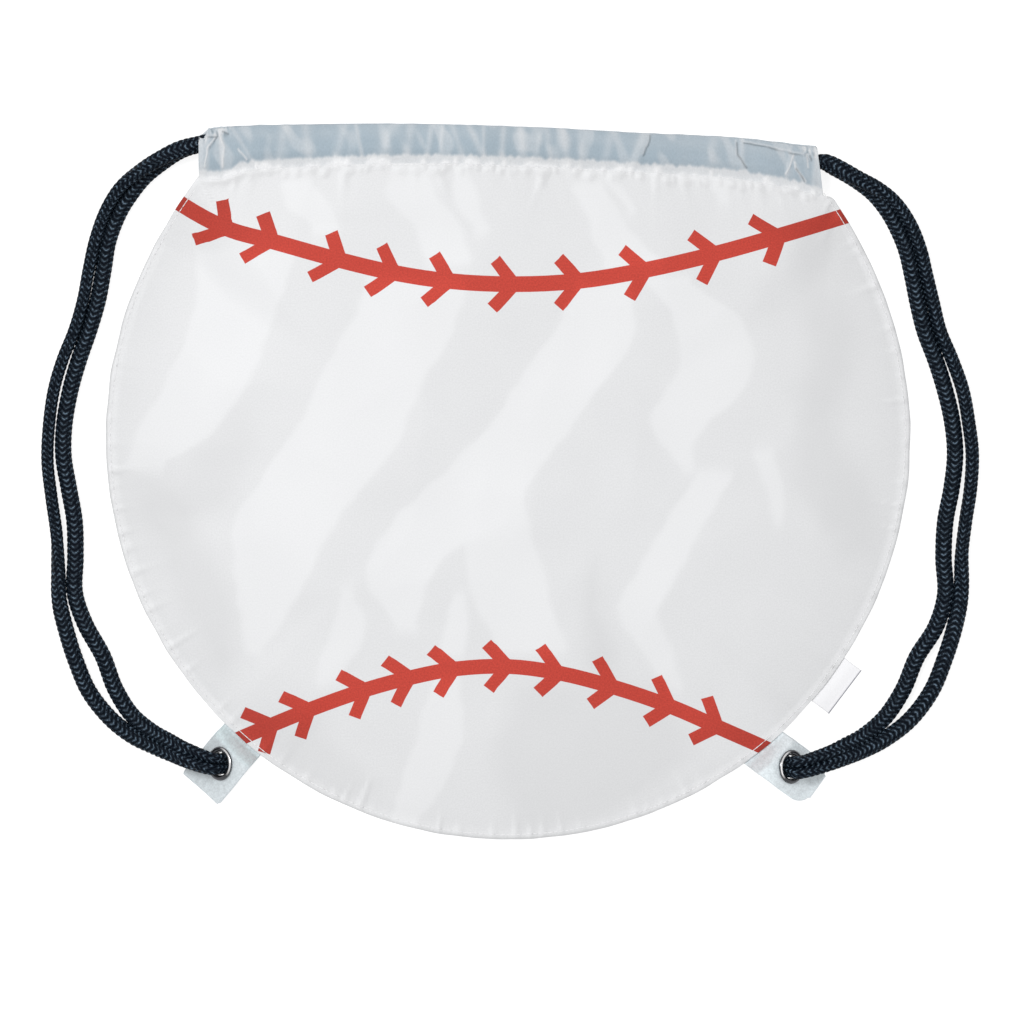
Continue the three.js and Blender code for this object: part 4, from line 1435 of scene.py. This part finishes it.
class BAG_OT_cords(Operator):
    """Braids the four strap strands, their knots and the cord runs inside the casings"""

    bl_idname = "bag.cords"
    bl_label = "Cords"

    def execute(self, context):
        sizes = context.scene.bag_cord
        colour = tuple(context.scene.bag_colours.cord)
        width = sizes.width / MM / 2
        height = sizes.height / MM / 2
        pitch = sizes.pitch / MM
        relief = sizes.relief / MM
        yarn = braid_yarn("braided_cord", colour, sizes.pitch)
        for side, tab in TABS.items():
            mesh, _, _ = braided_tube(knot_route(tab), lambda _: KNOT_SECTION, pitch, relief * 0.8,
                                      step=0.8, sides=24)
            add_piece(mesh, "braided_knot_" + side, yarn, ("knot_" + side,))
            mesh, _, _ = braided_tube(channel_route(side), lambda _: CHANNEL_SECTION, pitch, relief * 0.6,
                                      step=1.1, sides=24)
            node = "cord_" + side + "_channel"
            add_piece(mesh, "braided_" + node, yarn, (node,))
        for name, rows in STRANDS.items():
            side, lane = name.split("_")
            rolls = STRAND_ROLL[lane]

            def section(share):
                slim = lerp(CASING_SQUEEZE, 1.0, smoothstep(share, 0.0, CASING_SQUEEZE_END))
                slim *= lerp(1.0, EYELET_SQUEEZE, smoothstep(share, *EYELET_SQUEEZE_RUN))
                return width * slim, height * slim, math.radians(along_table(rolls, share))

            def half_height(share):
                half_width, half_tall, roll = section(share)
                return math.hypot(half_width * math.sin(roll), half_tall * math.cos(roll))

            mesh, points, length = braided_tube(strand_route(name, half_height), section, pitch, relief,
                                                shift=1 / BRAID_COLUMNS if name == "right_inner" else 0.0)
            node = "cord_" + name
            piece = add_piece(mesh, "braided_" + node, yarn, (node,))
            [tuple(point * MM) for point in points]
        return {"FINISHED"}


def loose_creases(seed, count):
    """Crossing creases of the back casing: place, slant, width and height."""
    source = random.Random(seed)
    creases = []
    for number in range(count):
        x = lerp(CASING_LEFT, CASING_RIGHT, (number + source.uniform(0.1, 0.9)) / count)
        creases.append((x, source.uniform(-0.4, 0.4), source.uniform(1.2, 2.8), source.uniform(0.25, 0.7)))
    return creases


def casing_swell(share, lip):
    """Half thickness of a casing from its sewn lip, 0, to its folded top edge, 1."""
    half = lerp(lip, CASING_HALF, smoothstep(share, *SWELL_RUN))
    if share > ROLL_START:
        half *= math.sqrt(max(0.0, 1 - ((share - ROLL_START) / (1 - ROLL_START)) ** 2))
    return half


def front_dip(x):
    """How far the front casing's top edge has slipped below the back one, near its two ends."""
    left = 0.3 * smoothstep(-x, 152, 164) + 3.4 * smoothstep(-x, 164.6, 166.8)
    return seen_shift(x) + 0.4 * smoothstep(x, 128, 158) + left


def back_dip(x):
    """How far the back casing's top edge dips at its left end, behind the front one."""
    return 3.2 * smoothstep(-x, 164, 170)


def nearest_line(lines, x, y, width):
    """1 on the nearest of some lines, which wander a little, falling off beside it."""
    drift = Vector((x / 4.5, y / 4.5, 6.6))
    x += 0.7 * noise.noise(drift)
    y += 0.7 * noise.noise(drift + Vector((5.2, 1.3, 0)))
    away = min(line_distance(points, x, y)[0] for points in lines)
    return math.exp(-((away / width) ** 2))


def end_roll(x, share):
    """Small lumps of the rolled top edge near the casing's two ends, -1 to 1."""
    near = max(smoothstep(-x, 150, 157), smoothstep(x, 160, 164)) * smoothstep(share, 0.76, 0.88)
    lumps = noise.noise(Vector(((x + 5 * share) / 1.5, share * 9, 3.0)))
    return near * clamp(2.4 * lumps + 0.25, -1.0, 1.0) if near else 0.0


def end_slant(x, share):
    """How far the right end of a casing slants, from its sewn lip to its top edge."""
    return 4 * (0.45 - share) * smoothstep(x, 152, 172)


def casing_mesh(z_at, creases, outward, dip):
    """A folded-over casing, open at both ends, with its inner layer cut back where the cord turns."""

    def crease_at(x, up):
        height = 0.0
        for place, slant, width, rise in creases:
            across = x - place - slant * up
            if abs(across) < 3 * width:
                height += rise * math.exp(-((across / width) ** 2))
        return height

    def shape(u, v):
        """Place of a point of the cloth, and its share of the way up to the folded edge."""
        x = lerp(CASING_LEFT, CASING_RIGHT, u)
        bottom = seam_at(x) - 1.5
        top = casing_at(TOP, x) - dip(x)
        share = (1 - math.cos(2 * math.pi * v)) / 2
        y = lerp(bottom, top, share)
        middle = z_at(x) if outward > 0 else lerp(1.0, z_at(x), smoothstep(share, 0.0, 0.4))
        if v > 0.5:
            z = middle - outward * casing_swell(share, 0.45)
            return x + end_slant(x, share), y, z, share
        crease = crease_at(x, y - (bottom + top) / 2)
        gather = 0.0
        if outward > 0:
            seen = y + seen_shift(x)
            crease += 0.9 * nearest_line(CASING_RIDGES, x, seen, 0.7) + 0.9 * end_roll(x, share)
            crease -= nearest_line(CASING_LINES, x, seen, 0.5)
            gather = gather_height(x, y)
        ruffle = noise.noise(Vector((x / 3.2, 2.0, outward * 7.0))) * smoothstep(-x, 148, 162)
        wobble = 0.3 * noise.noise(Vector((x / 7, 5.0, outward * 7.0))) + 0.8 * ruffle
        wave = 0.5 * noise.noise(Vector((x / 10, y / 14, outward * 4.0)))
        loose = smoothstep(share, 0.1, 0.35) * (1 - smoothstep(share, 0.8, 1.0))
        half = casing_swell(share, 0.0) + (0.6 * crease + wave) * loose + gather
        y += wobble * smoothstep(share, 0.8, 1)
        return x + end_slant(x, share), y, max(0.1, middle + outward * half), share

    def spread(u, v):
        """Closer columns near the two ends, and most of the front one's rows on its outer face."""
        outer = FACE_ROWS if outward > 0 else 0.5
        turn = v * 0.5 / outer if v <= outer else 0.5 + (v - outer) * 0.5 / (1 - outer)
        return u - 0.45 * math.sin(2 * math.pi * u) / (2 * math.pi), turn

    def place(u, v):
        return shape(*spread(u, v))[:3]

    def tint(u, v):
        """How much the cords show through, and how strongly painted highlight and painted shade mark ridges
        and fold lines.
        """
        u, v = spread(u, v)
        x, y, _, share = shape(u, v)
        seen = y + (seen_shift(x) if outward > 0 else 0.0)
        level = seen - casing_at(STITCH, x)
        crease = crease_at(x, seen - casing_at(STITCH, x) - 8)
        puff = clamp(puff_height(x, y) / 0.45)
        # The cords begin to show along a wavy line, and less where the cloth lifts off them
        wavy = 1.5 * noise.noise(Vector((x / 6, 1.0, outward)))
        wavy += 1.2 * noise.noise(Vector((x / 2.4, 4.0, 1.0)))
        close = smoothstep(level + wavy, -2.1, 0.6)
        loose = noise.noise(Vector(((x + 0.3 * level) / 7.5, level / 15, outward * 2.0)))
        patch = smoothstep(loose, 0.0, 0.4)
        close *= 1 - 0.26 * patch - 0.34 * clamp(crease / 0.7) - 0.10 * smoothstep(share, 0.55, 0.85)
        # A faint band of painted shade below the seam, cleared on the puffs as a painted highlight
        close = max(close, 0.17 * smoothstep(level, -8, -4)) * (1 - 0.75 * puff)
        # The doubled hems at both ends are paler
        hem = min(x - CASING_LEFT, CASING_RIGHT - x)
        close *= lerp(0.55, 1.0, smoothstep(hem, 1.6, 4.4)) * (1 - 0.07 * smoothstep(x, 60, 110))
        # On the front casing's outer face only: a painted highlight on ridges, on the lumps of the rolled
        # ends and beside each fold line, and painted shade on fold lines, between the lumps and along the
        # top edge
        dark = 0.0
        if outward > 0 and v < 0.5:
            roll = end_roll(x, share)
            lit = max(nearest_line(CASING_RIDGES, x, seen, 0.6), clamp(roll))
            close *= 1 - 0.7 * max(lit, 0.5 * nearest_line(CASING_LINES, x + 0.7, seen - 1.0, 0.7))
            faint = smoothstep(noise.noise(Vector((x / 4, seen / 4, 2.2))), -0.9, 0.1)
            dark = 0.6 * faint * nearest_line(CASING_LINES, x, seen, 0.5) + 0.4 * clamp(-roll)
            dark += 0.22 * smoothstep(share, 0.972, 0.992)
        return clamp(close), 0.5 + 0.5 * clamp(puff * (1 - close) - dark, -1.0, 1.0)

    def flat(u, v):
        u, v = spread(u, v)
        return lerp(CASING_LEFT, CASING_RIGHT, u) * MM, v * CASING_WRAP

    columns, rows = BACK_CASING_GRID if (outward < 0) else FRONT_CASING_GRID
    mesh = lay_grid(columns, rows, place, (("cloth", flat), ("tint", tint)))
    if outward < 0:
        bmesh.ops.reverse_faces(mesh, faces=mesh.faces)
    cloth = mesh.loops.layers.uv["cloth"]
    cut = []
    for face in mesh.faces:
        x, turn = sum((loop[cloth].uv for loop in face.loops), Vector((0, 0))) / len(face.loops)
        near_end = min(x / MM - CASING_LEFT, CASING_RIGHT - x / MM) < HEM_CUT
        if near_end and INNER_CUT[0] < turn / CASING_WRAP < INNER_CUT[1]:
            cut.append(face)
    bmesh.ops.delete(mesh, geom=cut, context="FACES")
    return mesh


class BAG_OT_front_panel(Operator):
    """Lays the printed front panel with its folds, and its casing"""

    bl_idname = "bag.front_panel"
    bl_label = "Front panel"

    def execute(self, context):
        sizes = context.scene.bag_sizes
        colours = context.scene.bag_colours
        puff = sizes.puff / MM
        rim = sizes.rim / MM

        def place(u, v):
            x, y = disc_point(u, v)
            return x, y, front_height(x, y, puff, rim)

        def printed(u, v):
            return print_place(*place(u, v))

        def sheen(u, v):
            """Painted highlight and shade of the cloth, and how much painted shade the ink takes near the
            rim.
            """
            x, y = disc_point(u, v)
            # Small folds are painted lit on the side that faces up and left, and painted shaded on the
            # other side
            tilt = small_folds(x + 0.9, y - 0.5) - small_folds(x - 0.9, y + 0.5)
            caught = smoothstep(tilt, 0.06, 0.2) - 0.8 * smoothstep(-tilt, 0.06, 0.25)
            # Puffs along the casing's seam get a painted highlight
            lit = painted_fold_sheen(x, y) + 1.2 * puff_height(x, y) + caught
            share, _ = panel_share(x, y)
            # Painted shade on the ink, growing towards the rim and beyond the topstitch
            rim_shade = 0.45 * smoothstep(share, 0.8, 0.96) + 0.55 * smoothstep(share, 0.985, 0.99)
            return 0.5 + 0.5 * clamp(lit, -1.0, 1.0), rim_shade

        columns, rows = FRONT_GRID
        mesh = lay_grid(columns, rows, place, (("cloth", disc_map), ("print", printed), ("sheen", sheen)))
        cloth = panel_cloth("front_cloth_printed", tuple(colours.cloth), sizes, tuple(colours.print_red))
        panel = add_piece(mesh, "front_panel_cloth", cloth, ("front_panel",), sizes.cloth)
        mesh = casing_mesh(front_casing_z, FRONT_CREASES, 1, front_dip)
        tinted = casing_cloth("front_casing_cloth", tuple(colours.cloth), tuple(colours.casing))
        casing = add_piece(mesh, "front_casing", tinted, ("front_panel",), sizes.cloth)
        return {"FINISHED"}


class BAG_OT_back_panel(Operator):
    """Lays the plain back panel on the floor, with its casing"""

    bl_idname = "bag.back_panel"
    bl_label = "Back panel"

    def execute(self, context):
        sizes = context.scene.bag_sizes
        colours = context.scene.bag_colours
        wall = sizes.cloth / MM
        rim = sizes.rim / MM

        def place(u, v):
            x, y = disc_point(u, v)
            share, angle = panel_share(x, y)
            uneven = 1 + noise.noise(Vector((x / 30, y / 34, 2.6)))
            crumple = BACK_CRUMPLE * uneven * (1 - min(1.0, share) ** 6)
            lift = back_rise(angle, rim) * smoothstep(share, *BACK_RISE_RUN)
            return x, y, wall + BACK_CLEAR + crumple + lift

        columns, rows = BACK_GRID
        mesh = lay_grid(columns, rows, place, (("cloth", disc_map),))
        cloth = panel_cloth("back_cloth_plain", tuple(colours.cloth))
        panel = add_piece(mesh, "back_panel_cloth", cloth, ("back_panel",), sizes.cloth)
        mesh = casing_mesh(back_casing_z, loose_creases(9, 30), -1, back_dip)
        tinted = casing_cloth("back_casing_cloth", tuple(colours.cloth), tuple(colours.casing))
        casing = add_piece(mesh, "back_casing", tinted, ("back_panel",), sizes.cloth)
        return {"FINISHED"}


def tab_height(tab, x, y):
    """Middle height of a tab: flat in the seam, up to the tipped eyelet, down to the floor past it."""
    centre, _ = eyelet_seat(tab)
    tipped = EYELET_HEIGHT - math.tan(EYELET_TILT) * tab["outward"] * (x - centre.x)
    past_rim = math.hypot(x, y - DISC_Y) - DISC_RADIUS
    raised = TAB_LOW + TAB_BEND * math.log(1 + math.exp((tipped - TAB_LOW) / TAB_BEND))
    lifted = TAB_TOP - TAB_BEND * math.log(1 + math.exp((TAB_TOP - raised) / TAB_BEND))
    return lerp(TAB_IN_SEAM, lifted, smoothstep(past_rim, *TAB_CLIMB))


def tab_wall_painted_light(x, y):
    """1 on the steep stretch of a tab between the rim and its eyelet, where painted light and shade go into
    its cloth.
    """
    past_rim = math.hypot(x, y - DISC_Y) - DISC_RADIUS
    return smoothstep(past_rim, *TAB_STEEP_START) * (1 - smoothstep(past_rim, *TAB_STEEP_END))


def folded_strip(length, half_gap, columns, rows, lay, width, marks=()):
    """A strip folded double at its far end: lay(reach, offset) gives its middle, in millimetres."""
    fold = math.pi * half_gap
    total = 2 * length + fold

    def run(u):
        travelled = u * total
        if travelled < length:
            return travelled, half_gap
        if travelled < length + fold:
            turn = (travelled - length) / half_gap
            return length + half_gap * math.sin(turn), half_gap * math.cos(turn)
        return total - travelled, -half_gap

    def place(u, v):
        reach, layer = run(u)
        point = lay(reach, (v - 0.5) * width)
        return point + Vector((0, 0, layer))

    def flat(u, v):
        return u * total * MM, v * width * MM

    def map_of(mark):
        return lambda u, v: (mark(*place(u, v)[:2]), 0.0)

    maps = [("cloth", flat)] + [(name, map_of(mark)) for name, mark in marks]
    return lay_grid(columns, rows, place, maps), total


class BAG_OT_tabs(Operator):
    """Folds the two corner tabs that hold the eyelets"""

    bl_idname = "bag.tabs"
    bl_label = "Tabs"

    def execute(self, context):
        for side, tab in TABS.items():
            # The right tab's higher tone is painted light
            colour = tuple(tab["tone"] * channel for channel in context.scene.bag_colours.tab)
            cloth = tab_cloth("tab_cloth_" + side, colour, tab["wall"])
            heading = math.radians(tab["heading"])
            along = Vector((math.cos(heading), math.sin(heading), 0))
            across = Vector((-along.y, along.x, 0))
            start = Vector((tab["x"], tab["y"], 0))
            centre, facing = eyelet_seat(tab)

            def lay(reach, offset):
                into_end = clamp(reach - TAB_LENGTH - TAB_TUCK + tab["corner"], 0, tab["corner"] * 0.97)
                narrow = tab["corner"] - math.sqrt(tab["corner"] ** 2 - into_end ** 2)
                offset *= 1 - 2 * narrow / TAB_WIDTH
                point = start + along * (reach - TAB_TUCK) + across * offset
                point.z = tab_height(tab, point.x, point.y)
                point.z += 0.3 * max(0.0, noise.noise(Vector((reach / 8, offset / 8, tab["outward"]))))
                return point

            reach = TAB_LENGTH + TAB_TUCK
            marks = (("wall", tab_wall_painted_light),)
            mesh, total = folded_strip(reach, TAB_HALF_GAP, *TAB_GRID, lay, TAB_WIDTH, marks)
            hole = []
            for face in mesh.faces:
                off = face.calc_center_median() / MM - centre
                if (off - facing * off.dot(facing)).length < EYELET_HOLE + 0.9:
                    hole.append(face)
            bmesh.ops.delete(mesh, geom=hole, context="FACES")
            node = "tab_" + side
            piece = add_piece(mesh, "folded_" + node, cloth, (node,), TAB_CLOTH * MM)
        return {"FINISHED"}


class BAG_OT_eyelets(Operator):
    """Turns the two gunmetal eyelets"""

    bl_idname = "bag.eyelets"
    bl_label = "Eyelets"

    def execute(self, context):
        metal = gunmetal("gunmetal_plate", tuple(context.scene.bag_colours.metal))
        hole = EYELET_HOLE
        profile = (
            (hole - 0.4, -1.4), (hole + 0.1, -2.1), (hole + 0.9, -2.3), (hole + 1.7, -2.1),
            (hole + 2.1, -1.5), (hole + 1.4, -1.3), (hole + 0.75, -1.2), (hole + 0.75, 1.2),
            (hole + 1.5, 1.25), (hole + 2.3, 1.35), (hole + 2.35, 1.75), (hole + 2.05, 2.25),
            (hole + 1.5, 2.55), (hole + 0.8, 2.6), (hole + 0.1, 2.3), (hole - 0.35, 1.6),
        )
        for side, tab in TABS.items():
            centre, facing = eyelet_seat(tab)
            mesh = bmesh.new()
            corners = [mesh.verts.new((radius * MM, 0, height * MM)) for radius, height in profile]
            edges = [mesh.edges.new(pair) for pair in zip(corners, corners[1:] + corners[:1])]
            bmesh.ops.spin(mesh, geom=corners + edges, cent=(0, 0, 0), axis=(0, 0, 1),
                           angle=2 * math.pi, steps=56, use_merge=True, use_duplicate=False)
            bmesh.ops.remove_doubles(mesh, verts=mesh.verts, dist=0.000005)
            # The ring map gives each point's distance from the middle and where the painted highlight
            # falls, away from the cord
            ring = mesh.loops.layers.uv.new("ring")
            for face in mesh.faces:
                for loop in face.loops:
                    reach = loop.vert.co.xy.length
                    upper = loop.vert.co.y * 0.95 + tab["outward"] * loop.vert.co.x * 0.31
                    loop[ring].uv = (reach, upper / reach)
            turn = facing.to_track_quat("Z", "Y").to_matrix().to_4x4()
            bmesh.ops.transform(mesh, matrix=Matrix.Translation(centre * MM) @ turn, verts=mesh.verts)
            bmesh.ops.recalc_face_normals(mesh, faces=mesh.faces)
            node = "eyelet_" + side
            add_piece(mesh, "rolled_" + node, metal, (node,))
        return {"FINISHED"}


class BAG_OT_label(Operator):
    """Folds the bare side label"""

    bl_idname = "bag.label"
    bl_label = "Side label"

    def execute(self, context):
        fold = (LABEL_TUCK + LABEL_REACH + math.pi * LABEL_HALF_GAP / 2) * MM
        tape = label_tape("woven_label_tape", tuple(context.scene.bag_colours.label), fold)
        along = Vector((math.cos(LABEL_ANGLE), math.sin(LABEL_ANGLE), 0))
        across = Vector((-along.y, along.x, 0))
        start = along * DISC_RADIUS + Vector((0, DISC_Y, 0))

        def lay(reach, offset):
            past = reach - LABEL_TUCK
            point = start + along * past + across * offset
            drop = LABEL_DROP * smoothstep(past, 0, LABEL_REACH)
            bow = LABEL_BOW * math.sin(math.pi * clamp(past / LABEL_REACH))
            point.z = LABEL_Z - drop + bow + 0.12 * noise.noise(Vector((past / 5, offset / 9, 1.5)))
            return point

        reach = LABEL_TUCK + LABEL_REACH
        mesh, total = folded_strip(reach, LABEL_HALF_GAP, *LABEL_GRID, lay, LABEL_LENGTH)
        piece = add_piece(mesh, "folded_side_label", tape, ("side_label",), LABEL_WALL * MM)
        return {"FINISHED"}


def sew(mesh, place, run, length, thickness):
    """One stitch: a short thread that dips into the cloth at both ends."""
    made = bmesh.ops.create_icosphere(mesh, subdivisions=1, radius=1.0)
    run = run.normalized()
    side = run.cross(Vector((0, 0, 1))).normalized()
    up = side.cross(run)
    turn = Matrix((run, side, up)).transposed().to_4x4()
    size = Matrix.Diagonal((length / 2 * MM, thickness * MM, thickness * 0.8 * MM, 1))
    matrix = Matrix.Translation(place * MM) @ turn @ size
    bmesh.ops.transform(mesh, matrix=matrix, verts=made["verts"])


class BAG_OT_stitching(Operator):
    """Sews the topstitch round the rim and along the casing"""

    bl_idname = "bag.stitching"
    bl_label = "Stitching"

    def execute(self, context):
        sizes = context.scene.bag_sizes
        thread = sewing_thread("white_thread", tuple(context.scene.bag_colours.thread))
        puff = sizes.puff / MM
        rim = sizes.rim / MM
        pitch = sizes.stitch_pitch / MM
        inset = sizes.stitch_inset / MM

        def rim_point(angle):
            x = (DISC_RADIUS - inset) * math.cos(angle)
            y = DISC_Y + (DISC_RADIUS - inset) * math.sin(angle)
            return Vector((x, y, front_height(x, y, puff, rim) + RIM_PROUD))

        mesh = bmesh.new()
        first = LEFT_CORNER + RIM_MARGIN
        last = RIGHT_CORNER + 2 * math.pi - RIM_MARGIN
        count = round((last - first) * DISC_RADIUS / pitch)
        for number in range(count):
            angle = lerp(first, last, (number + 0.5) / count)
            here = rim_point(angle)
            sew(mesh, here, rim_point(angle + 0.004) - here, pitch * RIM_STITCH, RIM_THREAD)
        add_piece(mesh, "rim_topstitch", thread, ())

        def casing_point(x):
            y = seam_at(x) + 0.5
            return Vector((x, y, front_height(x, y, puff, rim) + CASING_PROUD))

        mesh = bmesh.new()
        first = CASING_LEFT + CASING_MARGIN
        last = CASING_RIGHT - CASING_MARGIN
        count = round((last - first) / pitch)
        for number in range(count):
            x = lerp(first, last, (number + 0.5) / count)
            here = casing_point(x)
            sew(mesh, here, casing_point(x + 1) - here, pitch * CASING_STITCH, CASING_THREAD)
        add_piece(mesh, "casing_topstitch", thread, ())
        return {"FINISHED"}


PIECES = (BAG_OT_stage, BAG_OT_cords, BAG_OT_front_panel, BAG_OT_back_panel, BAG_OT_tabs, BAG_OT_eyelets,
          BAG_OT_label, BAG_OT_stitching)


class BAG_PT_sidebar(Panel):
    """Lists the bag's pieces and their sizes"""

    bl_idname = "BAG_PT_sidebar"
    bl_label = "Drawstring bag"
    bl_space_type = "VIEW_3D"
    bl_region_type = "UI"
    bl_category = "Bag"

    def draw(self, context):
        for operator in PIECES:
            self.layout.operator(operator.bl_idname)
        for group in (context.scene.bag_sizes, context.scene.bag_cord, context.scene.bag_colours,
                      context.scene.bag_stage):
            box = self.layout.box()
            for name in group.__annotations__:
                box.prop(group, name)


CLASSES = (BagSizes, CordSizes, BagColours, StageSettings) + PIECES + (BAG_PT_sidebar,)
SETTINGS = (("bag_sizes", BagSizes), ("bag_cord", CordSizes), ("bag_colours", BagColours),
            ("bag_stage", StageSettings))


def register():
    for item in CLASSES:
        bpy.utils.register_class(item)
    for name, group in SETTINGS:
        setattr(bpy.types.Scene, name, PointerProperty(type=group))


def unregister():
    for name, _ in SETTINGS:
        delattr(bpy.types.Scene, name)
    for item in reversed(CLASSES):
        bpy.utils.unregister_class(item)


def main():
    """Builds the bag."""
    register()
    bpy.ops.bag.stage()
    bpy.ops.bag.cords()
    bpy.ops.bag.front_panel()
    bpy.ops.bag.back_panel()
    bpy.ops.bag.tabs()
    bpy.ops.bag.eyelets()
    bpy.ops.bag.label()
    bpy.ops.bag.stitching()
    bpy.context.view_layer.update()


if __name__ == "__main__":
    main()
